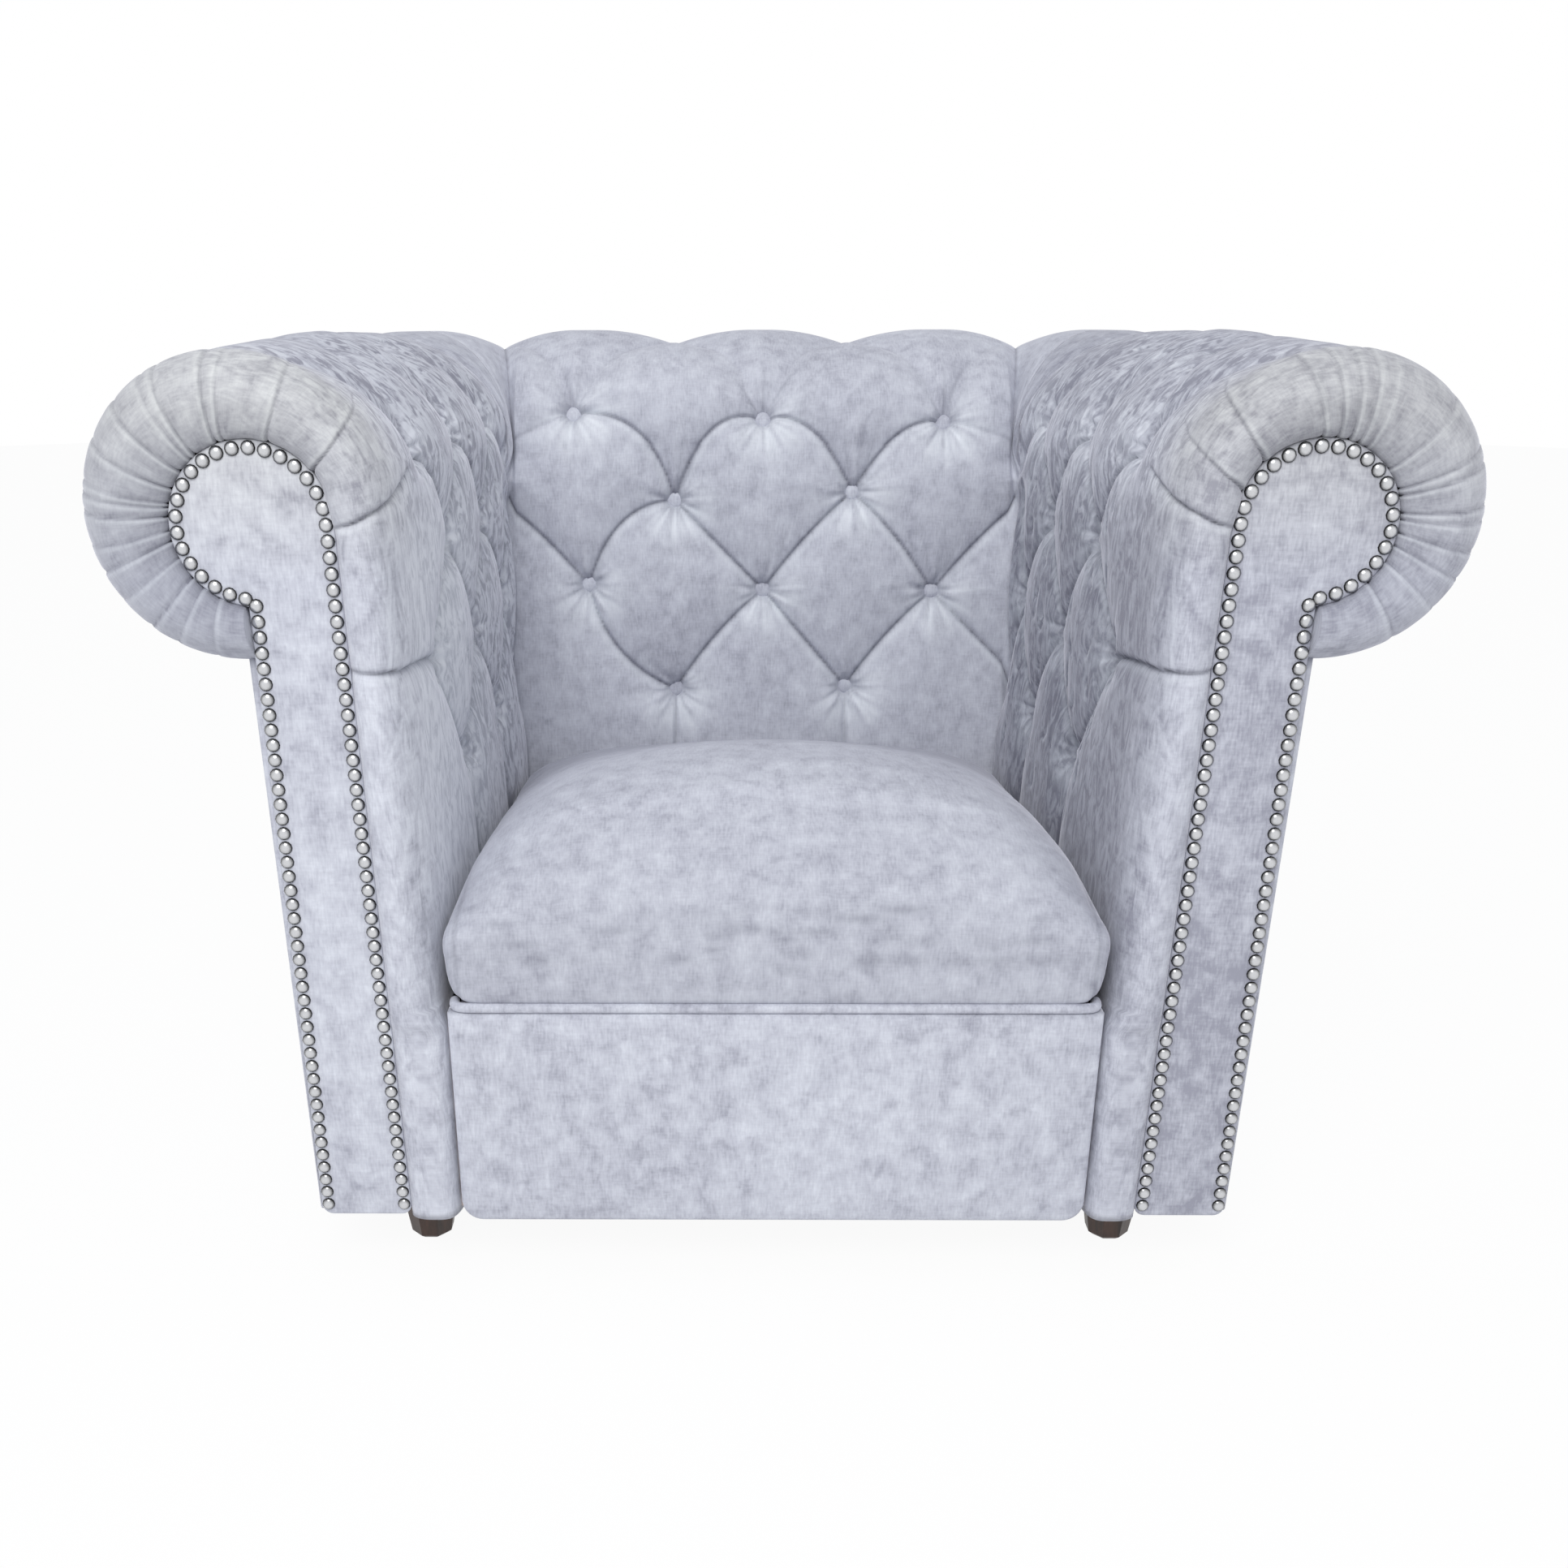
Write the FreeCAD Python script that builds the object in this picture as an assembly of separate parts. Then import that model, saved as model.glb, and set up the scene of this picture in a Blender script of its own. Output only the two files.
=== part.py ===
"""Chesterfield armchair: hardwood frame, rolled arms and back, deep buttoning, loose seat cushion.

Millimetres. +X runs from left to right as seen from the front, +Y from front to back and +Z up.
The origin is on the floor, under the middle of the chair.
"""
import FreeCAD, Part
import math
import os
from FreeCAD import Vector

os.makedirs("parts", exist_ok=True)

# Overall sizes
overall_width = 1042.0
overall_depth = 820.0
overall_height = 762.0
base_height = 57.0

# Roll that runs along both arms and the back
roll_radius = 114.0
roll_core_radius = 60.0
roll_axis_x = overall_width / 2 - roll_radius
roll_axis_y = overall_depth / 2 - roll_radius
roll_axis_z = overall_height - roll_radius

# Front of the arms: flat facing panel, and the soft ring that swells out around it
ring_bulge = 12.0
ring_tuck = 3.0
facing_thickness = 10.0
facing_circle_radius = 61.0
facing_circle_x = roll_axis_x - 18.0
facing_circle_z = roll_axis_z - 8.5
facing_foot_inner_x = facing_circle_x - 80.5
facing_foot_outer_x = facing_circle_x - 4.0
facing_neck_x = facing_circle_x + 8.0
face_y = -overall_depth / 2 + ring_bulge
facing_back_y = face_y + facing_thickness

# Nails
nail_edge = 6.0
nail_pitch = 11.8
nail_head_radius = 5.4
nail_head_height = 3.4
nail_shank_radius = 0.9
nail_shank_length = 8.0
slip = 0.05

# Seat deck and front border
deck_top = 257.0
deck_thickness = 19.0
deck_side_gap = 5.0
border_half_width = facing_foot_inner_x - 40.5
border_thickness = 14.5
border_foot_drop = 5.0
border_corner = 18.0
piping_radius = 4.6

# Padding of the arms and the back
soft_gap = 0.4
pad_bottom = deck_top - 17.0
crest_height = 26.0
top_crest_height = 15.0
fold_share = 0.42
dimple_width = 12.0
least_bulge = 0.4
arm_crest_x = roll_axis_x - 132.0
arm_lean = 0.035
arm_pad_back = roll_axis_x - 91.0
back_crest_y = roll_axis_y - 194.0
back_lean = 0.122
back_pad_back = roll_axis_y - 90.0

# Buttoning: heights of the rows on the upright face, then angles over the roll
low_row = 401.5
middle_row_share = 0.532
high_row = roll_axis_z - 54.0
row_heights = (low_row, low_row + middle_row_share * (high_row - low_row), high_row)
row_angles = (163.0, 98.0)
pleat_angles = (77.0, 56.0)
first_arm_button = 155.0
button_corner_gap = 72.8
button_radius = 10.0
button_height = 6.0
button_seat = 0.4
twine_radius = 1.0

# Loose seat cushion
cushion_side_gap = 2.5
cushion_floor_gap = 1.5
cushion_back_gap = 2.0
cushion_front_y = -overall_depth / 2 + 3.0
cushion_belly = 56.0
cushion_crown = 171.0
cushion_shoulder_in = 100.0
cushion_shoulder_share = 0.80
cushion_side_fullness = 0.52
cushion_front_round = 120.0
cushion_back_round = 34.0
cushion_fall_start = 165.0
cushion_back_fall = 0.78
cushion_under_round = 26.0
cushion_plan_corner = 22.0
cushion_cover_thickness = 3.0

# Frame timbers
frame_bottom = base_height + 3.0
post_thickness = 28.0
post_inset = 8.0
rear_post_size = 50.0
rear_post_x = roll_axis_x - 85.0
rear_post_y = roll_axis_y - 84.0
rail_thickness = 26.0
rail_top = deck_top - deck_thickness - 10.0
side_rail_outer_x = roll_axis_x - 62.0
side_rail_inner_x = side_rail_outer_x - rail_thickness
tack_rail_height = 40.0
tack_rail_thickness = 23.0
top_rail_size = 40.0
top_rail_inset = 3.0

# Outside panels
panel_thickness = 5.0
panel_foot_x = roll_axis_x - 19.0
panel_top_x = roll_axis_x - 4.0
panel_top_z = roll_axis_z - 103.0
panel_corner = 34.0
panel_seam_in = 44.0

# Corner blocks, feet and their fittings
block_size = 80.0
block_height = 40.0
block_chamfer = 45.0
foot_x = side_rail_inner_x - 14.0
foot_setback = 31.0
foot_top_width = 52.0
foot_bottom_width = 34.0
stud_radius = 4.0
stud_depth = 28.0
tee_flange_radius = 10.0
tee_flange_thickness = 1.5
tee_barrel_radius = 5.5
tee_barrel_height = 11.0
screw_radius = 2.2
screw_length = 42.0
screw_head_radius = 4.2
screw_head_height = 2.8
screw_recess = 24.0

# Springs and webbing
spring_count = 5
spring_side_room = 119.0
spring_spacing = 2 * (side_rail_inner_x - spring_side_room) / (spring_count - 1)
spring_wire_radius = 1.9
spring_bend = 26.0
spring_half_width = 24.0
clip_length = 20.0
clip_width = 14.0
clip_thickness = 1.6
clip_play = 0.2
strap_width = 40.0
strap_thickness = 2.0
arm_strap_low = 330.0
arm_strap_high = roll_axis_z - 118.0
back_strap_low = 380.0
back_strap_high = roll_axis_z - 73.0

# Base cloth and its staples
cloth_thickness = 1.2
cloth_inset = 8.0
staple_width = 11.0
staple_thickness = 1.2
staple_spacing = 62.0

SIDES = (("left", -1), ("right", 1))


def save(name, shapes):
    """Write one node. Several solids stay separate inside one file."""
    solids = [s for shape in shapes for s in shape.Solids]
    whole = solids[0] if len(solids) == 1 else Part.makeCompound(solids)
    whole.exportStep("parts/" + name + ".step")


def box(x0, x1, y0, y1, z0, z1):
    return Part.makeBox(x1 - x0, y1 - y0, z1 - z0, Vector(x0, y0, z0))


def mirrored(shape, side):
    """Shapes are drawn for the right-hand side, where side is 1."""
    return shape if side > 0 else shape.mirror(Vector(0, 0, 0), Vector(1, 0, 0))


def line(a, b):
    return Part.LineSegment(a, b).toShape()


def arc(a, b, c):
    return Part.Arc(a, b, c).toShape()


def polygon(corners):
    return [line(a, b) for a, b in zip(corners, corners[1:] + corners[:1])]


def prism(edges, direction):
    return Part.Face(Part.Wire(edges)).extrude(direction)


def turned(angle, radius, centre):
    """Point at an angle in degrees round a centre, in the plane across the arms."""
    t = math.radians(angle)
    return Vector(centre.x + radius * math.cos(t), centre.y, centre.z + radius * math.sin(t))


# Where the crests of the padding stand


def back_crest(z):
    return back_crest_y + back_lean * (z - pad_bottom)


elbow_y = back_crest(roll_axis_z)
elbow_reach = roll_axis_y - elbow_y
elbow_x = roll_axis_x - elbow_reach
arm_taper = (arm_crest_x + arm_lean * (roll_axis_z - deck_top) - elbow_x) / (elbow_y - face_y)
elbow_low = row_heights[2] - 2.0
button_pitch = elbow_x - button_corner_gap
arm_button_pitch = (elbow_y - face_y - first_arm_button - button_corner_gap) / 2


def arm_crest(y, z):
    """Distance of the arm padding's crest from the middle of the chair."""
    return arm_crest_x + arm_lean * (z - deck_top) - arm_taper * (y - face_y)


# Facing panel: an upright with a disc on top, like a keyhole


def facing_outline(inset, bottom, y):
    """Closed outline at depth y, drawn inset from the edge of the panel."""
    radius = facing_circle_radius - inset
    centre = Vector(facing_circle_x, y, facing_circle_z)
    lean = (facing_neck_x - facing_foot_outer_x) / (facing_circle_z - facing_circle_radius - base_height)
    foot = Vector(facing_foot_inner_x + inset + lean * (bottom - base_height), y, bottom)
    outer_foot = Vector(facing_foot_outer_x - inset + lean * (bottom - base_height), y, bottom)
    neck_x = facing_neck_x - inset
    neck = Vector(neck_x, y, centre.z - math.sqrt(radius**2 - (neck_x - centre.x) ** 2))
    towards = math.degrees(math.atan2(foot.z - centre.z, foot.x - centre.x))
    touch = turned(towards - math.degrees(math.acos(radius / foot.distanceToPoint(centre))), radius, centre)
    top, right = turned(75.0, radius, centre), turned(-20.0, radius, centre)
    return [
        line(foot, touch),
        arc(touch, turned(130.0, radius, centre), top),
        arc(top, turned(28.0, radius, centre), right),
        arc(right, turned(-55.0, radius, centre), neck),
        line(neck, outer_foot),
        line(outer_foot, foot),
    ]


def facing_block(inset, y0, y1):
    return prism(facing_outline(inset, base_height, y0), Vector(0, y1 - y0, 0))


def nail_places():
    """One close row round the edge of the panel, from foot to foot."""
    edges = facing_outline(nail_edge, base_height + nail_edge + nail_head_radius, face_y)[:5]
    path = Part.Wire(edges)
    count = int(path.Length / nail_pitch)
    return [Vector(p) for p in path.discretize(Number=count + 1)]


def nail(place):
    """Domed head on the face of the panel, with its shank behind."""
    ball_radius = (nail_head_radius**2 + nail_head_height**2) / (2 * nail_head_height)
    ball = Part.makeSphere(ball_radius, place + Vector(0, ball_radius - nail_head_height, 0))
    head = ball.common(Part.makeCylinder(2 * nail_head_radius, 2 * nail_head_radius, place, Vector(0, -1, 0)))
    shank = Part.makeCylinder(nail_shank_radius, nail_shank_length, place, Vector(0, 1, 0))
    return head.fuse(shank)


def facing_panel():
    depth = nail_shank_length + slip
    holes = [Part.makeCylinder(nail_shank_radius + slip, depth, p, Vector(0, 1, 0)) for p in nail_places()]
    return facing_block(0.0, face_y, facing_back_y).cut(holes)


# Padding sections. In each section s runs along the roll and n away from the core


def buttoned_stations():
    """Heights up the face, then angles over the roll, each with 1 on one kind of row and 0 on the other."""
    stations = [(pad_bottom, None, 0.0), (row_heights[0], None, 0.0)]
    kind = 0.0
    for low, high in zip(row_heights, row_heights[1:]):
        kind = 1.0 - kind
        stations += [((low + high) / 2, None, 0.5), (high, None, kind)]
    kind = 1.0 - kind
    stations.append((core_shoulder_z, None, 0.5))
    stations.append((None, row_angles[0], kind))
    stations.append((None, (row_angles[0] + row_angles[1]) / 2, 0.5))
    stations += [(None, angle, 1.0 - kind) for angle in (row_angles[1], *pleat_angles)]
    return stations


core_shoulder_z = roll_axis_z - 0.3 * roll_core_radius
core_shoulder_in = math.sqrt(roll_core_radius**2 - (roll_axis_z - core_shoulder_z) ** 2)


def roll_reach(angle, inner_reach):
    """Distance from the roll's axis to its skin. The quarter that faces the seat is part of an ellipse."""
    if angle <= 90.0:
        return roll_radius
    t = math.radians(angle)
    return inner_reach * roll_radius / math.hypot(inner_reach * math.sin(t), roll_radius * math.cos(t))


def button_depth(height, angle):
    """Full depth up to the last row but one. Over the top of the roll the pleats run out."""
    if angle is None or angle > row_angles[1] + 30.0:
        return crest_height
    if angle >= row_angles[1]:
        return top_crest_height
    return top_crest_height * (angle - pleat_angles[1]) / (row_angles[1] - pleat_angles[1])


def fold_depth(share):
    """Height of a fold line: it touches the buttons and rises between them."""
    return fold_share * 4 * share * (1 - share)


def section_wire(points, full, depth, to_space):
    """One closed section: scalloped skin, straight ends and the straight line against the core.

    points are pairs of s and a share of the crest height. full(s) is where the crest stands."""

    def skin(s, share):
        return full(s) - depth * (1 - share)

    edges = []
    for (s0, share0), (s1, share1) in zip(points, points[1:]):
        middle = (s0 + s1) / 2
        width = abs(s1 - s0)
        fullness = min(1.0, 0.45 + 0.6 * width / button_pitch) if width > 2 * dimple_width else 0.0
        chord = (skin(s0, share0) + skin(s1, share1)) / 2
        crest = max(skin(middle, fullness), chord + least_bulge)
        edges.append(arc(to_space(s0, skin(s0, share0)), to_space(middle, crest), to_space(s1, skin(s1, share1))))
    first, last = points[0], points[-1]
    start, end = to_space(first[0], skin(*first)), to_space(last[0], skin(*last))
    edges.append(line(end, to_space(last[0], 0.0)))
    edges.append(line(to_space(last[0], 0.0), to_space(first[0], 0.0)))
    edges.append(line(to_space(first[0], 0.0), start))
    return Part.Wire(edges)


# Arm padding


def arm_station(height, angle):
    """For one station: the map from (s, n) to space, and where the crest stands."""
    if angle is None:
        back = roll_axis_x - core_shoulder_in if height == core_shoulder_z else arm_pad_back

        def to_space(s, n):
            return Vector(back - n, s, height)

        def full(s):
            return back - arm_crest(s, height)

        return to_space, full

    def to_space(s, n):
        return turned(angle, roll_core_radius + n, Vector(roll_axis_x, s, roll_axis_z))

    def full(s):
        return roll_reach(angle, roll_axis_x - arm_crest(s, roll_axis_z)) - roll_core_radius

    return to_space, full


def arm_folds(kind):
    """Where folds cross a section. A row of kind 1 holds three buttons, and kind 0 the two between them."""
    half = dimple_width / 2
    odd = [s + side * half for s in arm_button_places(1.0) for side in (-1, 1)]
    even = [s + side * half for s in arm_button_places(0.0) for side in (-1, 1)]
    even = [post_back_y + half, *even, elbow_y - half]
    return [(e + (o - e) * kind, fold_depth(kind)) for e, o in zip(even, odd)]


def arm_button_places(kind):
    first = face_y + first_arm_button
    if kind == 1.0:
        return (first, first + arm_button_pitch, first + 2 * arm_button_pitch)
    return (first + arm_button_pitch / 2, first + 1.5 * arm_button_pitch)


post_back_y = facing_back_y + post_thickness


def arm_body():
    wires = []
    for height, angle, kind in buttoned_stations():
        to_space, full = arm_station(height, angle)
        points = [(post_back_y, 0.97), *arm_folds(kind), (elbow_y, 0.85)]
        wires.append(section_wire(points, full, button_depth(height, angle), to_space))
    return Part.makeLoft(wires, True, True)


under_angle = -92.0


def sector(centre, direction, start):
    """Part of the roll that is plain: a ring from an angle round to below the roll, less its core."""

    def at(angle, radius):
        t = math.radians(angle)
        return centre + direction * (radius * math.cos(t)) + Vector(0, 0, radius * math.sin(t))

    outer, inner = roll_radius, roll_core_radius
    return [
        arc(at(start, outer), at(start / 2, outer), at(0.0, outer)),
        arc(at(0.0, outer), at(-45.0, outer), at(under_angle, outer)),
        line(at(under_angle, outer), at(under_angle, inner)),
        arc(at(under_angle, inner), at(-45.0, inner), at(0.0, inner)),
        arc(at(0.0, inner), at(start / 2, inner), at(start, inner)),
        line(at(start, inner), at(start, outer)),
    ]


def arm_plain_roll():
    centre = Vector(roll_axis_x, post_back_y, roll_axis_z)
    return prism(sector(centre, Vector(1, 0, 0), pleat_angles[1]), Vector(0, elbow_y - post_back_y, 0))


# Soft ring round the facing panel


def facing_reach(angle):
    """Distance from the roll's axis to the rim of the facing's disc."""
    t = math.radians(angle)
    dx, dz = facing_circle_x - roll_axis_x, facing_circle_z - roll_axis_z
    along = dx * math.cos(t) + dz * math.sin(t)
    return along + math.sqrt(facing_circle_radius**2 - dx**2 - dz**2 + along**2)


def facing_inner_edge(height, inset):
    """Distance of the facing's inner edge from the middle of the chair, below its disc."""
    share = (height - base_height) / (facing_circle_z - base_height)
    foot_edge = facing_foot_inner_x + inset
    return foot_edge + share * (facing_circle_x - facing_circle_radius + inset - foot_edge)


def ring_section(to_space, rim, outer):
    """Section of the ring, from under the rim of the facing out to the skin of the roll."""
    inside = rim - 2 * ring_tuck
    width = outer - rim
    lip = face_y + ring_tuck
    tip = face_y - ring_bulge
    shoulder = tip + 0.18 * (post_back_y - tip)
    crown = to_space(tip, rim + 0.42 * width)
    return Part.Wire([
        line(to_space(post_back_y, inside), to_space(lip, inside)),
        line(to_space(lip, inside), to_space(lip, rim - 0.5)),
        arc(to_space(lip, rim - 0.5), to_space(tip + 1.5, rim + 0.22 * width), crown),
        arc(crown, to_space(shoulder, rim + 0.82 * width), to_space(post_back_y, outer)),
        line(to_space(post_back_y, outer), to_space(post_back_y, inside)),
    ])


def arm_ring():
    wires = []
    for height in (pad_bottom, row_heights[0], row_heights[2], core_shoulder_z):
        to_space, full = arm_station(height, None)
        rim = to_space(0, 0.0).x - facing_inner_edge(height, 0.0)
        wires.append(ring_section(to_space, rim, full(post_back_y) - 0.03 * crest_height))
    for angle in [165.0 - 15.0 * k for k in range(17)] + [under_angle]:
        to_space, full = arm_station(None, angle)
        wires.append(ring_section(to_space, facing_reach(angle) - roll_core_radius, full(post_back_y)))
    return Part.makeLoft(wires, True, True)


front_rail_y = facing_back_y + 1.0
front_rail_back = front_rail_y + rail_thickness


def arm_front_strip():
    """Padding that runs down beside the front border to the foot of the arm."""
    wires = []
    for height in (base_height, pad_bottom):
        inner, rim = border_half_width + 2.0, facing_inner_edge(height, 0.0)
        under = rim + 2 * ring_tuck
        lip = face_y + ring_tuck
        start, end = Vector(inner, front_rail_y, height), Vector(under, front_rail_y, height)
        edge, side = Vector(rim, lip, height), Vector(inner, lip, height)
        crest = Vector((inner + rim) / 2, face_y - 0.6 * ring_bulge, height)
        tuck = Vector(under, lip, height)
        wires.append(Part.Wire([line(start, end), line(end, tuck), line(tuck, edge), arc(edge, crest, side), line(side, start)]))
    return Part.makeLoft(wires, True, True)


# Rear corners of the roll


def elbow_face():
    """Section of the roll at the rear corner, across the arm."""
    centre = Vector(roll_axis_x, elbow_y, roll_axis_z)

    def core(angle):
        return turned(angle, roll_core_radius, centre)

    def skin(angle):
        return turned(angle, roll_reach(angle, elbow_reach), centre)

    low_in = Vector(elbow_x, elbow_y, elbow_low)
    low_out = Vector(roll_axis_x - roll_core_radius, elbow_y, elbow_low)
    edges = sector(centre, Vector(1, 0, 0), 90.0)[:5]
    edges.append(arc(core(90.0), core(135.0), core(180.0)))
    edges += [line(core(180.0), low_out), line(low_out, low_in), line(low_in, skin(180.0))]
    for angle in (180.0, 150.0, 120.0):
        edges.append(arc(skin(angle), skin(angle - 15.0), skin(angle - 30.0)))
    return Part.Face(Part.Wire(edges))


def swept_elbow(face, angle0, angle1):
    """Turn a section about the upright line at the inner corner of the seat."""
    pivot = Vector(elbow_x, elbow_y, 0)
    start = face.copy()
    start.rotate(pivot, Vector(0, 0, 1), angle0)
    return start.revolve(pivot, Vector(0, 0, 1), angle1 - angle0)


def upright_slab(front, rear, x0, x1, low, high):
    """Slab between two planes that lean with height: front and rear map a height to y."""
    corners = [Vector(x0, front(low), low), Vector(x0, front(high), high)]
    corners += [Vector(x0, rear(high), high), Vector(x0, rear(low), low)]
    return prism(polygon(corners), Vector(x1 - x0, 0, 0))


def seat_corner(z):
    """Plane where the arm padding ends against the back padding."""
    return back_crest(z) + 1.0


def far_behind(z):
    return overall_depth / 2


def arm_pad():
    behind = upright_slab(seat_corner, far_behind, 0.0, overall_width, pad_bottom - 1.0, elbow_low)
    pieces = [arm_plain_roll(), arm_ring(), arm_front_strip(), swept_elbow(elbow_face(), 0.0, 45.0)]
    whole = arm_body().cut(behind).fuse(pieces)
    inside = [facing_block(-slip, -overall_depth, facing_back_y), front_post(), rear_post()]
    inside += [*arm_webbing(), *back_webbing(), round_core(0.0, 45.0), arm_core_tube(), arm_top_rail()]
    return whole.cut(inside).cut(buttons(arm_station, arm_button_places, button_seat))


# Back padding


def back_station(height, angle):
    if angle is None:
        back = roll_axis_y - core_shoulder_in if height == core_shoulder_z else back_pad_back

        def to_space(s, n):
            return Vector(s, back - n, height)

        def full(s):
            return back - back_crest(height)

        return to_space, full

    def to_space(s, n):
        t = math.radians(angle)
        reach = roll_core_radius + n
        return Vector(s, roll_axis_y + reach * math.cos(t), roll_axis_z + reach * math.sin(t))

    def full(s):
        return roll_reach(angle, elbow_reach) - roll_core_radius

    return to_space, full


def back_folds(kind):
    """Where folds cross a section. A row of kind 1 holds three buttons, and kind 0 the two between them."""
    half = dimple_width / 2
    pitch = button_pitch
    even = (pitch / 2 - half, pitch / 2 + half, elbow_x - half)
    odd = (half, pitch - half, pitch + half)
    right = [(e + (o - e) * kind, fold_depth(kind)) for e, o in zip(even, odd)]
    left = [(-s, share) for s, share in reversed(right)]
    return left + right


def back_body():
    wires = []
    for height, angle, kind in buttoned_stations():
        to_space, full = back_station(height, angle)
        points = [(-elbow_x, 0.85), *back_folds(kind), (elbow_x, 0.85)]
        wires.append(section_wire(points, full, button_depth(height, angle), to_space))
    return Part.makeLoft(wires, True, True)


def back_plain_roll():
    centre = Vector(-elbow_x, roll_axis_y, roll_axis_z)
    return prism(sector(centre, Vector(0, 1, 0), pleat_angles[1]), Vector(2 * elbow_x, 0, 0))


def back_corner():
    """The end of the back padding that is hidden behind the end of the arm padding."""

    def front(z):
        return seat_corner(z) + soft_gap

    def rear(z):
        return back_pad_back

    return upright_slab(front, rear, elbow_x, arm_pad_back, pad_bottom, elbow_low)


def back_pad():
    pieces = [back_plain_roll()]
    inside = [back_core_tube(), back_top_rail(), *back_webbing()]
    for name, side in SIDES:
        pieces += [mirrored(back_corner(), side), mirrored(swept_elbow(elbow_face(), 45.0, 90.0), side)]
        inside.append(mirrored(rear_post(), side))
    return back_body().fuse(pieces).cut(inside).cut(buttons(back_station, back_button_places, button_seat))


# Buttons


def button(place, outward, depth):
    """Covered button with its twine, which runs back through the padding."""
    ball_radius = (button_radius**2 + button_height**2) / (2 * button_height)
    ball = Part.makeSphere(ball_radius, Vector(0, 0, button_height - ball_radius))
    head = ball.common(Part.makeCylinder(button_radius, button_height + 1.0))
    shape = head.fuse(Part.makeCylinder(twine_radius, depth, Vector(0, 0, -depth)))
    shape.Placement = FreeCAD.Placement(place, FreeCAD.Rotation(Vector(0, 0, 1), outward))
    return shape


def button_room(place, outward, depth, gap):
    """Space kept free in the padding for a button and its twine."""
    height = crest_height + 2 * button_height
    room = Part.makeCylinder(button_radius + gap, height, Vector(0, 0, -gap))
    room = room.fuse(Part.makeCylinder(twine_radius + gap, depth + gap, Vector(0, 0, -depth - gap)))
    room.Placement = FreeCAD.Placement(place, FreeCAD.Rotation(Vector(0, 0, 1), outward))
    return room


def buttons(station, places, gap):
    """Buttons of every row, or with a gap the room for them. places(kind) gives where they stand in a row."""
    made = []
    for height, angle, kind in buttoned_stations()[1:-len(pleat_angles)]:
        if kind == 0.5:
            continue
        to_space, full = station(height, angle)
        for s in places(kind):
            deep = full(s) - button_depth(height, angle)
            foot = to_space(s, deep)
            outward = foot - to_space(s, 0.0)
            outward.normalize()
            length = deep - 0.5
            made.append(button_room(foot, outward, length, gap) if gap else button(foot, outward, length))
    return made


def back_button_places(kind):
    return (-button_pitch, 0.0, button_pitch) if kind == 1.0 else (-button_pitch / 2, button_pitch / 2)


# Frame


def front_post():
    return prism(facing_outline(post_inset, frame_bottom, facing_back_y), Vector(0, post_thickness, 0))


top_rail_x = roll_axis_x - roll_core_radius + top_rail_inset
top_rail_y = roll_axis_y - roll_core_radius + top_rail_inset
top_rail_z = roll_axis_z - top_rail_size / 2


def rear_post():
    size = rear_post_size
    top = top_rail_z + top_rail_size
    return box(rear_post_x, rear_post_x + size, rear_post_y, rear_post_y + size, frame_bottom, top)


def arm_top_rail():
    size = top_rail_size
    return box(top_rail_x, top_rail_x + size, post_back_y, rear_post_y, top_rail_z, top_rail_z + size)


def back_top_rail():
    size = top_rail_size
    return box(-rear_post_x, rear_post_x, top_rail_y, top_rail_y + size, top_rail_z, top_rail_z + size)


def round_core(angle0, angle1):
    """Core of the roll at the rear corner."""
    circle = Part.makeCircle(roll_core_radius, Vector(roll_axis_x, elbow_y, roll_axis_z), Vector(0, 1, 0))
    return swept_elbow(Part.Face(Part.Wire([circle])), angle0, angle1)


def arm_core_tube():
    start = Vector(roll_axis_x, post_back_y, roll_axis_z)
    return Part.makeCylinder(roll_core_radius, elbow_y - post_back_y, start, Vector(0, 1, 0))


def back_core_tube():
    start = Vector(-elbow_x, roll_axis_y, roll_axis_z)
    return Part.makeCylinder(roll_core_radius, 2 * elbow_x, start, Vector(1, 0, 0))


def arm_core():
    return arm_core_tube().fuse(round_core(0.0, 45.0)).cut([arm_top_rail(), rear_post(), back_top_rail()])


def back_core():
    timbers = [back_top_rail()]
    ends = []
    for name, side in SIDES:
        ends.append(mirrored(round_core(45.0, 90.0), side))
        timbers += [mirrored(rear_post(), side), mirrored(arm_top_rail(), side)]
    return back_core_tube().fuse(ends).cut(timbers)


tack_rail_z = deck_top + 6.0
front_block_y = front_rail_back
rear_block_y = rear_post_y - block_size
foot_front_y = front_block_y + foot_setback
foot_rear_y = rear_post_y - foot_setback
BLOCKS = (("front", front_block_y, -1, foot_front_y), ("rear", rear_block_y, 1, foot_rear_y))


def screw(start, direction, gap):
    """Flat-headed screw, or with a gap the hole and the deep recess for it. start is under the head."""
    head_room = screw_recess if gap else screw_head_height
    shank = Part.makeCylinder(screw_radius + gap, screw_length + gap, start, direction)
    return shank.fuse(Part.makeCylinder(screw_head_radius + gap, head_room, start, direction * -1))


def block_screws(y0, sign, gap):
    """One screw into the side rail and one into the front or rear rail. sign is -1 on a front block."""
    z = frame_bottom + block_height / 2
    reach = 20.0
    far = y0 + block_size - 20.0 if sign < 0 else y0 + 20.0
    rail_face = y0 if sign < 0 else y0 + block_size
    side = Vector(side_rail_inner_x - reach, far, z)
    end = Vector(side_rail_inner_x - block_size + 20.0, rail_face - sign * reach, z)
    return [screw(side, Vector(1, 0, 0), gap), screw(end, Vector(0, sign, 0), gap)]


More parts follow.
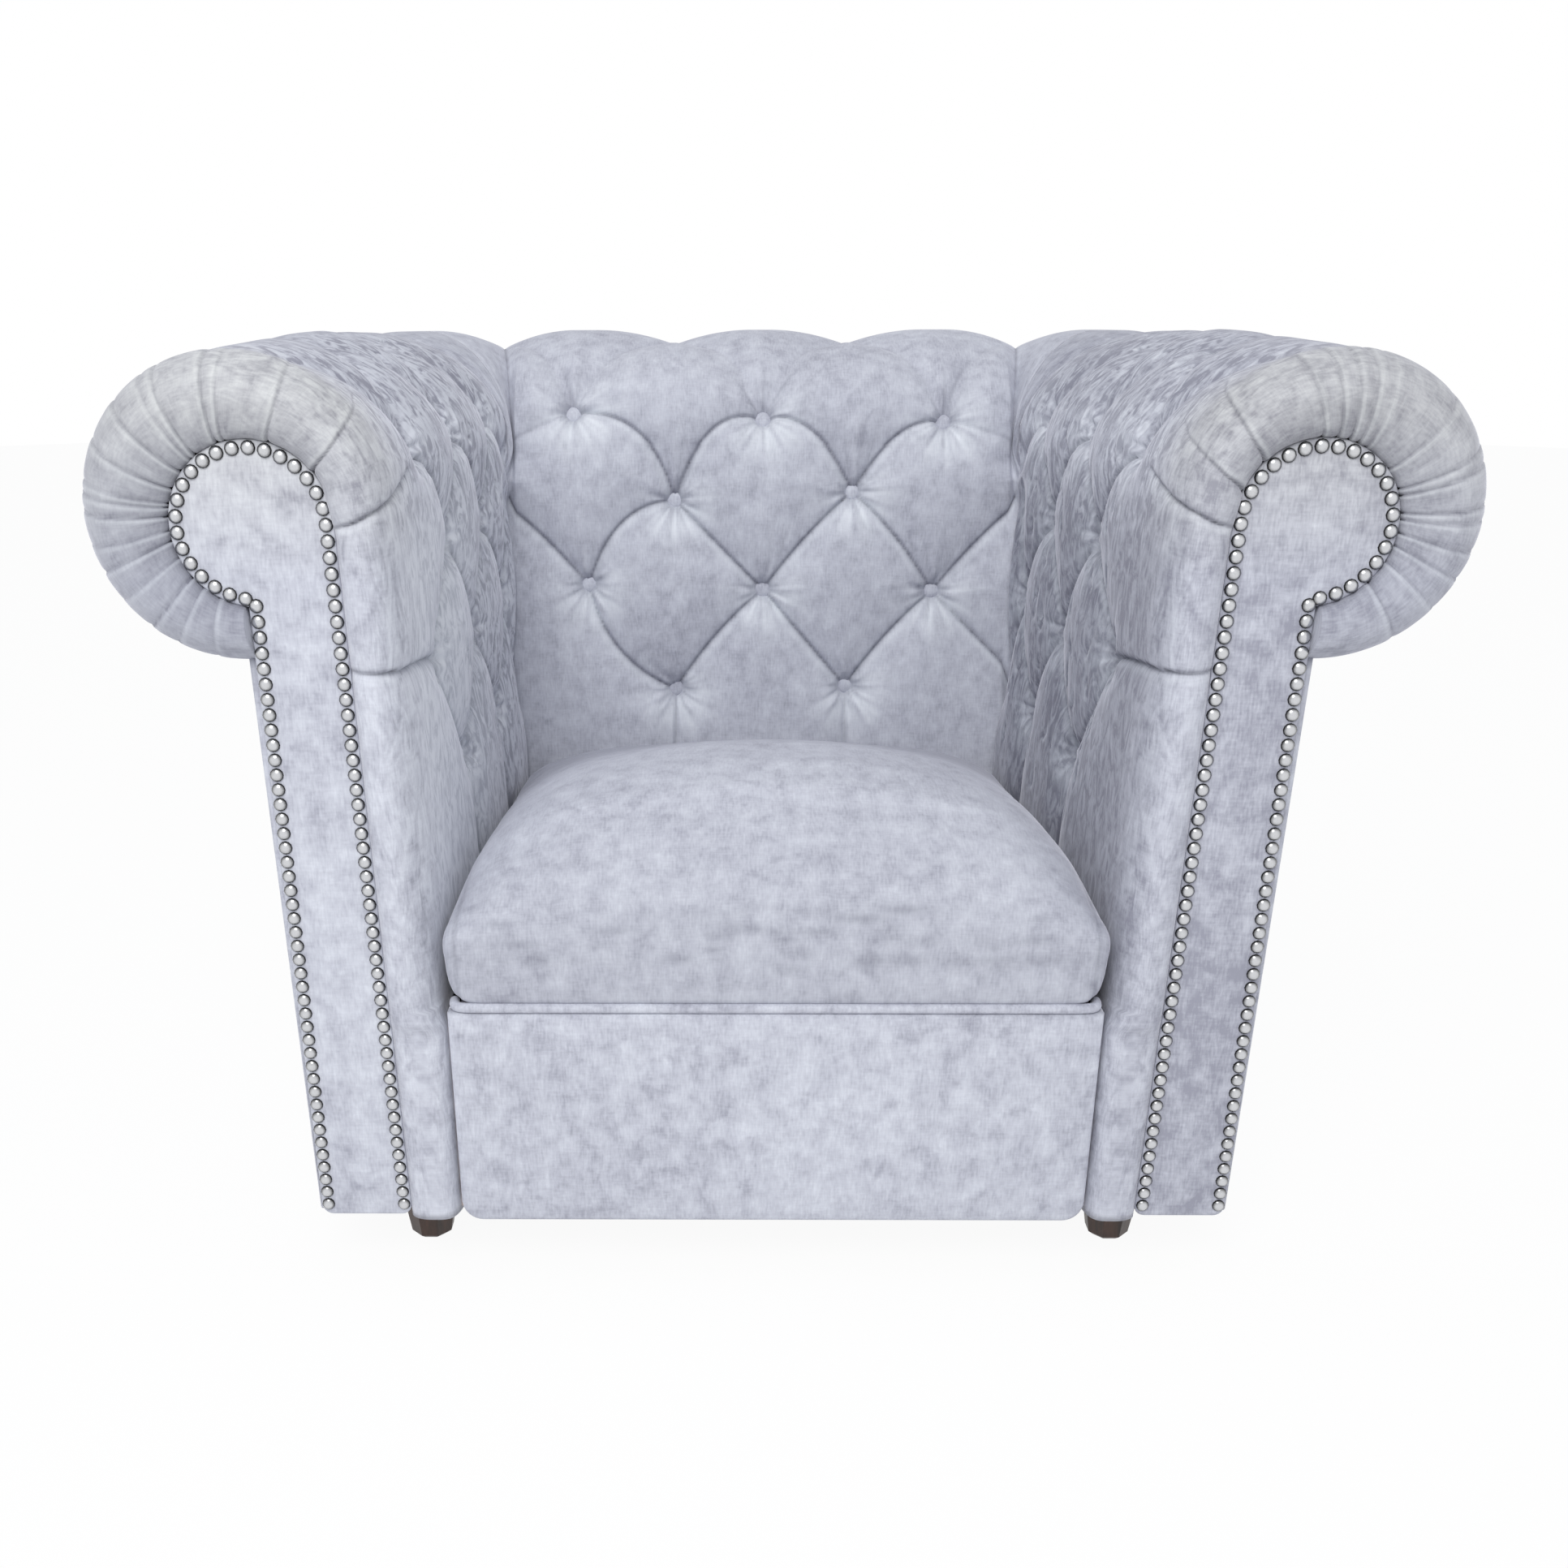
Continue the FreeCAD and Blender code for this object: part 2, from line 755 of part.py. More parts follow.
def corner_block(y0, sign, foot_y):
    """Glued block in the corner between two rails, with its inner corner sawn off."""
    x0, x1 = side_rail_inner_x - block_size, side_rail_inner_x
    near, far = (y0, y0 + block_size) if sign < 0 else (y0 + block_size, y0)
    z = frame_bottom
    corners = [Vector(x0, near, z), Vector(x1, near, z), Vector(x1, far, z)]
    corners += [Vector(x0 + block_chamfer, far, z), Vector(x0, far + sign * block_chamfer, z)]
    block = prism(polygon(corners), Vector(0, 0, block_height))
    bore = Part.makeCylinder(tee_barrel_radius + slip, block_height, Vector(foot_x, foot_y, z))
    return block.cut([bore, front_post(), *block_screws(y0, sign, slip)])


def screw_holes():
    made = []
    for name, side in SIDES:
        for place, y0, sign, foot_y in BLOCKS:
            made += [mirrored(s, side) for s in block_screws(y0, sign, slip)]
    return made


def front_rail():
    """Rail between the front posts, whose edges lean a little."""
    whole = box(-facing_foot_outer_x, facing_foot_outer_x, front_rail_y, front_rail_back, frame_bottom, rail_top)
    posts = [mirrored(front_post(), side) for name, side in SIDES]
    pieces = whole.cut(posts).Solids
    middle = max(pieces, key=lambda piece: piece.Volume)
    return middle.cut(screw_holes())


def rear_rail():
    rail = box(-rear_post_x, rear_post_x, rear_post_y, rear_post_y + rail_thickness, frame_bottom, rail_top)
    return rail.cut(screw_holes())


def side_rail():
    rail = box(side_rail_inner_x, side_rail_outer_x, post_back_y, rear_post_y, frame_bottom, rail_top)
    return rail.cut(screw_holes())


def arm_tack_rail():
    x = rear_post_x
    return box(x, x + tack_rail_thickness, post_back_y, rear_post_y, tack_rail_z, tack_rail_z + tack_rail_height)


def back_tack_rail():
    y = rear_post_y
    return box(-rear_post_x, rear_post_x, y, y + tack_rail_thickness, tack_rail_z, tack_rail_z + tack_rail_height)


# Feet


def tee_nut(y):
    """Flanged nut driven into the top of the corner block."""
    top = frame_bottom + block_height
    start = Vector(foot_x, y, top - tee_barrel_height)
    flange = Part.makeCylinder(tee_flange_radius, tee_flange_thickness, Vector(foot_x, y, top))
    barrel = Part.makeCylinder(tee_barrel_radius, tee_barrel_height, start)
    return flange.fuse(barrel).cut(Part.makeCylinder(stud_radius + slip, 2 * tee_barrel_height, start))


def stud(y):
    low = frame_bottom - stud_depth
    high = frame_bottom + block_height + tee_flange_thickness
    return Part.makeCylinder(stud_radius, high - low, Vector(foot_x, y, low))


def octagon(width, y, z):
    radius = width / 2 / math.cos(math.pi / 8)
    angles = [math.pi / 8 + k * math.pi / 4 for k in range(8)]
    return Part.Wire(polygon([Vector(foot_x + radius * math.cos(t), y + radius * math.sin(t), z) for t in angles]))


def foot(y):
    """Eight-sided tapered foot, eased under, with a blind hole for its stud."""
    ease = 4.0
    eased_width = foot_bottom_width + (foot_top_width - foot_bottom_width) * ease / frame_bottom
    sections = [octagon(foot_bottom_width - 2 * ease, y, 0.0), octagon(eased_width, y, ease)]
    sections.append(octagon(foot_top_width, y, frame_bottom))
    low = frame_bottom - stud_depth - slip
    hole = Part.makeCylinder(stud_radius + slip, stud_depth + slip, Vector(foot_x, y, low))
    return Part.makeLoft(sections, True, True).cut(hole)


# Springs


spring_z = rail_top + clip_thickness + spring_wire_radius + clip_play
spring_front = (front_rail_y + front_rail_back) / 2
spring_rear = rear_post_y + rail_thickness / 2


def spring(x):
    """One zigzag spring from the front rail to the rear rail."""
    turns = int((spring_rear - spring_front) / spring_bend)
    pitch = (spring_rear - spring_front) / turns
    half = spring_half_width - pitch / 2
    z = spring_z
    sign = 1
    y = spring_front
    edges = [line(Vector(x - half, y, z), Vector(x + half, y, z))]
    for k in range(turns):
        bend = Vector(x + sign * (half + pitch / 2), y + pitch / 2, z)
        edges.append(arc(Vector(x + sign * half, y, z), bend, Vector(x + sign * half, y + pitch, z)))
        y += pitch
        edges.append(line(Vector(x + sign * half, y, z), Vector(x - sign * half, y, z)))
        sign = -sign
    circle = Part.makeCircle(spring_wire_radius, Vector(x - half, spring_front, z), Vector(1, 0, 0))
    return Part.Wire(edges).makePipeShell([Part.Wire([circle])], True, False)


def spring_clip(x, y, sign):
    """Steel clip folded over the end bar of a spring. sign points to its closed side."""
    gap = 2 * (spring_wire_radius + clip_play)
    half = clip_width / 2
    high = rail_top + gap + 2 * clip_thickness
    closed, mouth = y + sign * clip_length / 2, y - sign * clip_length / 2
    inside = closed - sign * clip_thickness
    outer = box(x - half, x + half, min(closed, mouth), max(closed, mouth), rail_top, high)
    low = rail_top + clip_thickness
    slot = box(x - clip_width, x + clip_width, min(inside, mouth - sign), max(inside, mouth - sign), low, low + gap)
    return outer.cut(slot)


def spring_places():
    return [(k - (spring_count - 1) / 2) * spring_spacing for k in range(spring_count)]


# Webbing behind the padding, nailed from post to post


def strap_heights(low, high):
    return (low, (low + high) / 2, high)


def arm_webbing():
    made = []
    hold = 12.0
    for height in strap_heights(arm_strap_low, arm_strap_high):
        low = height - strap_width / 2
        front_x, rear_x = facing_inner_edge(low, post_inset), rear_post_x
        front, rear = post_back_y - hold, rear_post_y + hold
        corners = [Vector(front_x, front, low), Vector(rear_x, rear, low)]
        corners += [Vector(rear_x - strap_thickness, rear, low), Vector(front_x - strap_thickness, front, low)]
        made.append(prism(polygon(corners), Vector(0, 0, strap_width)).cut(rear_post()))
    return made


def back_webbing():
    made = []
    reach = rear_post_x + 14.0
    y = rear_post_y - strap_thickness
    for height in strap_heights(back_strap_low, back_strap_high):
        made.append(box(-reach, reach, y, rear_post_y, height - strap_width / 2, height + strap_width / 2))
    return made


# Outside panels


def body_outline(inset, z):
    """Plan outline of the upholstered body below the roll, with round rear corners."""
    lean = (panel_top_x - panel_foot_x) / (panel_top_z - base_height)
    x = panel_foot_x + lean * (z - base_height) - inset
    rear = x + roll_axis_y - roll_axis_x
    front = facing_back_y
    r = panel_corner - inset
    k = r * (1 - math.sqrt(0.5))
    return Part.Wire([
        line(Vector(-x, front, z), Vector(x, front, z)),
        line(Vector(x, front, z), Vector(x, rear - r, z)),
        arc(Vector(x, rear - r, z), Vector(x - k, rear - k, z), Vector(x - r, rear, z)),
        line(Vector(x - r, rear, z), Vector(-x + r, rear, z)),
        arc(Vector(-x + r, rear, z), Vector(-x + k, rear - k, z), Vector(-x, rear - r, z)),
        line(Vector(-x, rear - r, z), Vector(-x, front, z)),
    ])


def body_block(inset, low, high):
    return Part.makeLoft([body_outline(inset, low), body_outline(inset, high)], True, True)


def outside_shell():
    """Thin upholstered panels all round the body, up to the underside of the roll."""
    hollow = body_block(panel_thickness, base_height - 1.0, panel_top_z + 1.0)
    inner = facing_foot_inner_x
    front = box(-inner, inner, -overall_depth, facing_back_y + panel_thickness, 0, overall_height)
    rolls = []
    for name, side in SIDES:
        rolls.append(mirrored(swept_elbow(elbow_face(), 0.0, 90.0), side))
    return body_block(0.0, base_height, panel_top_z).cut([hollow, front, *rolls])


seam_y = roll_axis_y - panel_seam_in


def outside_arm():
    return outside_shell().common(box(0, overall_width, -overall_depth, seam_y, 0, overall_height))


def outside_back():
    return outside_shell().common(box(-overall_width, overall_width, seam_y, overall_depth, 0, overall_height))


# Front border and its piping


border_top = deck_top - 2 * piping_radius - 0.5


def border():
    """Plain front border below the cushion, hanging a little lower than the arms."""
    low = base_height - border_foot_drop
    r = border_corner
    k = r * (1 - math.sqrt(0.5))
    w = border_half_width
    foot_w = w - 3.0
    y = front_rail_y
    edges = [
        line(Vector(-w, y, border_top), Vector(w, y, border_top)),
        line(Vector(w, y, border_top), Vector(foot_w, y, low + r)),
        arc(Vector(foot_w, y, low + r), Vector(foot_w - k, y, low + k), Vector(foot_w - r, y, low)),
        line(Vector(foot_w - r, y, low), Vector(-foot_w + r, y, low)),
        arc(Vector(-foot_w + r, y, low), Vector(-foot_w + k, y, low + k), Vector(-foot_w, y, low + r)),
        line(Vector(-foot_w, y, low + r), Vector(-w, y, border_top)),
    ]
    return prism(edges, Vector(0, -border_thickness, 0))


def piping():
    """Round cord in its cover along the top edge of the border, turned back at both ends."""
    z = border_top + piping_radius
    bend = 9.0
    y = front_rail_y - border_thickness + piping_radius
    w = border_half_width - piping_radius - bend
    k = bend * math.sqrt(0.5)
    tail = y + bend + 1.0
    edges = [
        line(Vector(-w - bend, tail, z), Vector(-w - bend, y + bend, z)),
        arc(Vector(-w - bend, y + bend, z), Vector(-w - k, y + bend - k, z), Vector(-w, y, z)),
        line(Vector(-w, y, z), Vector(w, y, z)),
        arc(Vector(w, y, z), Vector(w + k, y + bend - k, z), Vector(w + bend, y + bend, z)),
        line(Vector(w + bend, y + bend, z), Vector(w + bend, tail, z)),
    ]
    circle = Part.makeCircle(piping_radius, Vector(-w - bend, tail, z), Vector(0, 1, 0))
    return Part.Wire(edges).makePipeShell([Part.Wire([circle])], True, False)


def deck():
    """Pad over the springs, as wide as the seat between the arms."""
    low = deck_top - deck_thickness
    y0, y1 = front_rail_y + 5.0, back_crest(pad_bottom) - soft_gap
    half0, half1 = [arm_crest(y, pad_bottom) - deck_side_gap for y in (y0, y1)]
    corners = [Vector(-half0, y0, low), Vector(half0, y0, low), Vector(half1, y1, low), Vector(-half1, y1, low)]
    return prism(polygon(corners), Vector(0, 0, deck_thickness))


# Loose seat cushion


cushion_back_y = back_crest(deck_top) - cushion_back_gap


def rounding(distance, radius):
    """Share of full size at a distance from an end that is rounded with this radius."""
    share = 1 - min(distance / radius, 1.0)
    return math.sqrt(1 - share**2)


def crown_left(front_distance):
    """Share of the crown that is left where the top falls away towards the back."""
    run = cushion_back_y - cushion_front_y - cushion_fall_start
    behind = max(front_distance - cushion_fall_start, 0.0) / run
    return 1 - cushion_back_fall * behind**1.15


def cushion_section(front_distance, inset):
    """Cross-section at a distance behind the front: flat under, drawn-in sides, crowned top."""
    y = cushion_front_y + front_distance
    back_distance = cushion_back_y - y
    end = min(front_distance, back_distance) - inset
    front_share = rounding(front_distance - inset, cushion_front_round - inset)
    back_share = rounding(back_distance - inset, cushion_back_round - inset)
    top_share = min(front_share, back_share * crown_left(front_distance))
    belly = deck_top + cushion_floor_gap + cushion_belly
    low = belly - (cushion_belly - inset) * rounding(end, cushion_under_round)
    high = belly + (cushion_crown - cushion_belly) * top_share - inset
    corner_in = cushion_plan_corner * (1 - rounding(end, 60.0))
    half = arm_crest(y, deck_top) - cushion_side_gap - inset - corner_in
    shoulder = half - cushion_shoulder_in
    shoulder_z = belly + (high - belly) * cushion_shoulder_share

    def side(sign):
        under = Vector(sign * (half - 16.0), y, low)
        lower = Vector(sign * (half - 3.0), y, belly - (belly - low) * 0.7)
        upper = Vector(sign * (half - 0.33 * cushion_shoulder_in), y, belly + (shoulder_z - belly) * cushion_side_fullness)
        return under, lower, Vector(sign * half, y, belly), upper, Vector(sign * shoulder, y, shoulder_z)

    right, left = side(1), side(-1)
    return Part.Wire([
        line(left[0], right[0]),
        arc(right[0], right[1], right[2]),
        arc(right[2], right[3], right[4]),
        arc(right[4], Vector(0, y, high), left[4]),
        arc(left[4], left[3], left[2]),
        arc(left[2], left[1], left[0]),
    ])


def cushion_body(inset):
    depth = cushion_back_y - cushion_front_y
    near, far = cushion_front_round, depth - 2.4 * cushion_back_round
    stations = [inset + d for d in (1.5, 7.0, 18.0, 40.0, 75.0, near)]
    stations += [near + share * (far - near) for share in (0.25, 0.5, 0.75)]
    stations += [depth - inset - d for d in (2.4 * cushion_back_round, 50.0, cushion_back_round, 18.0, 6.0, 1.5)]
    return Part.makeLoft([cushion_section(d, inset) for d in stations], True, True)


# Base cloth


def base_cloth():
    low = frame_bottom - cloth_thickness
    sheet = body_block(panel_thickness + cloth_inset, low, frame_bottom)
    holes = [box(-overall_width, overall_width, -overall_depth, front_rail_y + cloth_inset, 0, overall_height)]
    for side, y in FOOT_PLACES:
        holes.append(Part.makeCylinder(foot_top_width * 0.56, 10.0, Vector(side * foot_x, y, low - 5.0)))
    return sheet.cut(holes)


def staple(x, y, along_x):
    """Crown of one staple, flat against the underside of the cloth."""
    a, b = (staple_width / 2, staple_thickness / 2) if along_x else (staple_thickness / 2, staple_width / 2)
    top = frame_bottom - cloth_thickness
    return box(x - a, x + a, y - b, y + b, top - staple_thickness, top)


def staples():
    made = []
    count = int(2 * (foot_x - foot_top_width) / staple_spacing)
    for y in (front_rail_y + cloth_inset + 6.0, rear_post_y + rail_thickness / 2):
        made += [staple((k - count / 2) * staple_spacing, y, True) for k in range(count + 1)]
    x = (side_rail_inner_x + side_rail_outer_x) / 2
    start, end = foot_front_y + foot_top_width, foot_rear_y - foot_top_width
    count = int((end - start) / staple_spacing)
    places = [(start + end) / 2 + (k - count / 2) * staple_spacing for k in range(count + 1)]
    for name, side in SIDES:
        made += [staple(side * x, y, False) for y in places]
    return made


# Build every node

FOOT_PLACES = [(side, foot_y) for name, side in SIDES for place, y0, sign, foot_y in BLOCKS]

for name, side in SIDES:
    save("arm_facing_" + name, [mirrored(facing_panel(), side)])
    save("arm_nails_" + name, [mirrored(nail(p), side) for p in nail_places()])
    save("arm_pad_" + name, [mirrored(arm_pad(), side)])
    save("arm_buttons_" + name, [mirrored(b, side) for b in buttons(arm_station, arm_button_places, 0.0)])
    save("arm_front_post_" + name, [mirrored(front_post(), side)])
    save("rear_post_" + name, [mirrored(rear_post(), side)])
    save("side_rail_" + name, [mirrored(side_rail(), side)])
    save("arm_tack_rail_" + name, [mirrored(arm_tack_rail(), side)])
    save("arm_top_rail_" + name, [mirrored(arm_top_rail(), side)])
    save("arm_roll_core_" + name, [mirrored(arm_core(), side)])
    save("arm_webbing_" + name, [mirrored(s, side) for s in arm_webbing()])
    save("outside_arm_" + name, [mirrored(outside_arm(), side)])
    for place, y0, sign, foot_y in BLOCKS:
        save("corner_block_" + place + "_" + name, [mirrored(corner_block(y0, sign, foot_y), side)])
        save("foot_" + place + "_" + name, [mirrored(foot(foot_y), side)])

screws = [mirrored(s, side) for name, side in SIDES for place, y0, sign, y in BLOCKS for s in block_screws(y0, sign, 0.0)]
save("block_screws", screws)
save("foot_studs", [mirrored(stud(y), side) for side, y in FOOT_PLACES])
save("foot_tee_nuts", [mirrored(tee_nut(y), side) for side, y in FOOT_PLACES])

save("front_rail", [front_rail()])
save("rear_rail", [rear_rail()])
save("back_top_rail", [back_top_rail()])
save("back_tack_rail", [back_tack_rail()])
save("back_roll_core", [back_core()])
save("back_webbing", back_webbing())
save("back_pad", [back_pad()])
save("back_buttons", buttons(back_station, back_button_places, 0.0))
save("outside_back", [outside_back()])

save("front_border", [border()])
save("front_border_piping", [piping()])
save("seat_deck", [deck()])
save("seat_springs", [spring(x) for x in spring_places()])
ends = ((spring_front, -1), (spring_rear, 1))
save("spring_clips", [spring_clip(x, y, sign) for x in spring_places() for y, sign in ends])
save("seat_cushion_cover", [cushion_body(0.0).cut(cushion_body(cushion_cover_thickness))])
save("seat_cushion_core", [cushion_body(cushion_cover_thickness + 0.3)])
save("base_cloth", [base_cloth()])
save("base_cloth_staples", staples())
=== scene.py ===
import bpy
import bmesh
import math
import numpy as np
from mathutils import Matrix, Vector


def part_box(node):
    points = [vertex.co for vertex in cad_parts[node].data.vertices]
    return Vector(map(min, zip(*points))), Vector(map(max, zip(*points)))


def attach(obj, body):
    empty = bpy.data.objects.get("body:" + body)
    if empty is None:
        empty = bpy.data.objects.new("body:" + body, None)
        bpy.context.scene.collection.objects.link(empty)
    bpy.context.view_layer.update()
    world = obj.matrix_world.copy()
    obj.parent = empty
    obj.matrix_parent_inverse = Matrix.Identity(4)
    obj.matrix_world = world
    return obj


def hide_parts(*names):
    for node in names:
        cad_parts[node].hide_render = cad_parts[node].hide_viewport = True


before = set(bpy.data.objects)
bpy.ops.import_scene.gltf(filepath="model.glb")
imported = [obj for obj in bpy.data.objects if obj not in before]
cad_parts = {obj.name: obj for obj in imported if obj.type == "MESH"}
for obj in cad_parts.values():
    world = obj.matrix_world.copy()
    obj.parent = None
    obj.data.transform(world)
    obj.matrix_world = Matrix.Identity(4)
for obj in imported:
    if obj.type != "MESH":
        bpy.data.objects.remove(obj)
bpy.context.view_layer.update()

# Camera: stands about a metre and a half in front of the chair, a little above the roll, and looks down.

camera_data = bpy.data.cameras.new("camera")
camera_data.sensor_width = 36.0
camera_data.lens = 36.57
camera_data.shift_x = 0.0505
camera_data.shift_y = 0.0610
camera = bpy.data.objects.new("camera", camera_data)
bpy.context.collection.objects.link(camera)
camera.matrix_world = (
    Matrix.Translation((-0.0476, -1.5805, 0.7942))
    @ Matrix.Rotation(math.radians(0.466), 4, "Z")
    @ Matrix.Rotation(math.radians(90.0 - 20.026), 4, "X")
    @ Matrix.Rotation(math.radians(-0.126), 4, "Z")
)
bpy.context.scene.camera = camera
bpy.context.scene.view_settings.view_transform = "Standard"

# Studio: a bright even room, one large soft lamp above and in front, a little to the left, and a white
# paper floor.


def linear(red, green, blue):
    """Colour as it is given, 0 to 255, turned into the shader's own scale."""
    return tuple(((c / 255 + 0.055) / 1.055) ** 2.4 for c in (red, green, blue)) + (1.0,)


def seen_directly(nodes, links):
    """1 where the floor or the room is seen by the camera, in a gloss or through glass."""
    path = nodes.new("ShaderNodeLightPath")
    first = nodes.new("ShaderNodeMath")
    first.operation = "MAXIMUM"
    links.new(path.outputs["Is Camera Ray"], first.inputs[0])
    links.new(path.outputs["Is Glossy Ray"], first.inputs[1])
    both = nodes.new("ShaderNodeMath")
    both.operation = "MAXIMUM"
    links.new(first.outputs[0], both.inputs[0])
    links.new(path.outputs["Is Transmission Ray"], both.inputs[1])
    return both.outputs[0]


room = bpy.data.worlds.new("room")
room.use_nodes = True
bpy.context.scene.world = room
nodes, links = room.node_tree.nodes, room.node_tree.links
daylight = nodes["Background"]
daylight.inputs["Color"].default_value = (0.95, 0.97, 1.0, 1.0)
daylight.inputs["Strength"].default_value = 0.62
paper = nodes.new("ShaderNodeBackground")
paper.inputs["Color"].default_value = (1.0, 1.0, 1.0, 1.0)
which = nodes.new("ShaderNodeMixShader")
links.new(seen_directly(nodes, links), which.inputs[0])
links.new(daylight.outputs[0], which.inputs[1])
links.new(paper.outputs[0], which.inputs[2])
links.new(which.outputs[0], nodes["World Output"].inputs["Surface"])


def soft_lamp(name, place, aim, size, power):
    lamp = bpy.data.lights.new(name, "AREA")
    lamp.shape = "DISK"
    lamp.size = size
    lamp.energy = power
    holder = bpy.data.objects.new(name, lamp)
    bpy.context.collection.objects.link(holder)
    holder.location = place
    holder.rotation_euler = (Vector(aim) - Vector(place)).to_track_quat("-Z", "Y").to_euler()


soft_lamp("window_light", (-0.5, -2.6, 2.7), (0.0, 0.0, 0.4), 1.8, 66.0)


def new_material(name):
    """A material with its nodes, links and shader at hand."""
    material = bpy.data.materials.new(name)
    material.use_nodes = True
    nodes, links = material.node_tree.nodes, material.node_tree.links
    return material, nodes, links, nodes["Principled BSDF"]


bm = bmesh.new()
bmesh.ops.create_circle(bm, cap_ends=True, segments=64, radius=9.0)
floor_mesh = bpy.data.meshes.new("paper_floor")
bm.to_mesh(floor_mesh)
bm.free()
floor = bpy.data.objects.new("paper_floor", floor_mesh)
bpy.context.collection.objects.link(floor)
floor_paper, nodes, links, shader = new_material("floor_paper")
shader.inputs["Base Color"].default_value = (0.9, 0.9, 0.9, 1.0)
shader.inputs["Roughness"].default_value = 0.9
white = nodes.new("ShaderNodeEmission")
share = nodes.new("ShaderNodeMath")
share.operation = "MULTIPLY"
share.inputs[1].default_value = 0.94
links.new(seen_directly(nodes, links), share.inputs[0])
mix = nodes.new("ShaderNodeMixShader")
links.new(share.outputs[0], mix.inputs[0])
links.new(shader.outputs[0], mix.inputs[1])
links.new(white.outputs[0], mix.inputs[2])
links.new(mix.outputs[0], nodes["Material Output"].inputs["Surface"])
floor_mesh.materials.append(floor_paper)

# Frame timbers: beech posts, rails and corner blocks, sawn and planed, glued and screwed together.
# They keep the shapes of the frame, and only get their grain.


def toned(nodes, links, amount, low, dark, high, light):
    """Colour that goes from dark to light while amount goes from low to high."""
    tone = nodes.new("ShaderNodeValToRGB")
    first, last = tone.color_ramp.elements
    first.position, first.color = low, dark
    last.position, last.color = high, light
    links.new(amount, tone.inputs[0])
    return tone.outputs[0]


def embossed(nodes, links, height, strength, distance, shader):
    """Fine relief on a surface."""
    relief = nodes.new("ShaderNodeBump")
    relief.inputs["Strength"].default_value = strength
    relief.inputs["Distance"].default_value = distance
    links.new(height, relief.inputs["Height"])
    links.new(relief.outputs[0], shader.inputs["Normal"])


def grain_material(name, dark, light, along, roughness):
    """Timber whose grain runs along one axis of the piece."""
    material, nodes, links, shader = new_material(name)
    turn = nodes.new("ShaderNodeMapping")
    turn.inputs["Scale"].default_value = [14.0 if axis == along else 150.0 for axis in range(3)]
    links.new(nodes.new("ShaderNodeTexCoord").outputs["Object"], turn.inputs["Vector"])
    figure = nodes.new("ShaderNodeTexNoise")
    figure.inputs["Scale"].default_value = 1.0
    figure.inputs["Detail"].default_value = 5.0
    figure.inputs["Distortion"].default_value = 0.4
    links.new(turn.outputs[0], figure.inputs["Vector"])
    tone = toned(nodes, links, figure.outputs["Fac"], 0.32, dark, 0.68, light)
    links.new(tone, shader.inputs["Base Color"])
    embossed(nodes, links, figure.outputs["Fac"], 0.25, 0.0006, shader)
    shader.inputs["Roughness"].default_value = roughness
    return material


def dress(names, material):
    """Give nodes of the frame a finish, leaving their shape alone."""
    for name in names:
        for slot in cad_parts[name].material_slots:
            slot.material = material


def beech(way, axis):
    return grain_material("beech_" + way, linear(168, 128, 88), linear(206, 170, 126), axis, 0.62)


across, deep, upright = beech("across", 0), beech("deep", 1), beech("upright", 2)
dress(["front_rail", "rear_rail", "back_top_rail", "back_tack_rail"], across)
for side in ("left", "right"):
    dress(["side_rail_" + side, "arm_tack_rail_" + side, "arm_top_rail_" + side], deep)
    dress(["corner_block_front_" + side, "corner_block_rear_" + side], across)
    dress(["arm_front_post_" + side, "rear_post_" + side], upright)

# Roll cores: wound fibre board tubes that give the arms and the back their round tops.


def mottled_material(name, dark, light, scale, roughness, relief, metallic=0.0):
    """Plain stuff with a fine uneven tone: board, zinc plate, foam, wire."""
    material, nodes, links, shader = new_material(name)
    grit = nodes.new("ShaderNodeTexNoise")
    grit.inputs["Scale"].default_value = scale
    grit.inputs["Detail"].default_value = 4.0
    links.new(nodes.new("ShaderNodeTexCoord").outputs["Object"], grit.inputs["Vector"])
    tone = toned(nodes, links, grit.outputs["Fac"], 0.3, dark, 0.7, light)
    links.new(tone, shader.inputs["Base Color"])
    embossed(nodes, links, grit.outputs["Fac"], 0.5, relief, shader)
    shader.inputs["Roughness"].default_value = roughness
    shader.inputs["Metallic"].default_value = metallic
    return material


fibre_board = mottled_material("fibre_board", linear(128, 104, 76), linear(156, 130, 98), 160.0, 0.85, 0.0004)
dress(["back_roll_core", "arm_roll_core_left", "arm_roll_core_right"], fibre_board)

# Springs, clips, screws, studs and tee nuts: drawn wire and zinc-plated steel, fixed before the covers.

dark_steel, bright_steel = linear(92, 94, 98), linear(138, 140, 144)
dark_zinc, bright_zinc = linear(150, 154, 158), linear(190, 193, 196)
spring_steel = mottled_material("spring_steel", dark_steel, bright_steel, 220.0, 0.34, 0.0001, 1.0)
zinc_steel = mottled_material("zinc_steel", dark_zinc, bright_zinc, 320.0, 0.38, 0.0001, 1.0)
dress(["seat_springs"], spring_steel)
dress(["spring_clips", "block_screws", "foot_studs", "foot_tee_nuts", "base_cloth_staples"], zinc_steel)

# Webbing: jute straps 40 mm wide, tacked from post to post behind the padding.


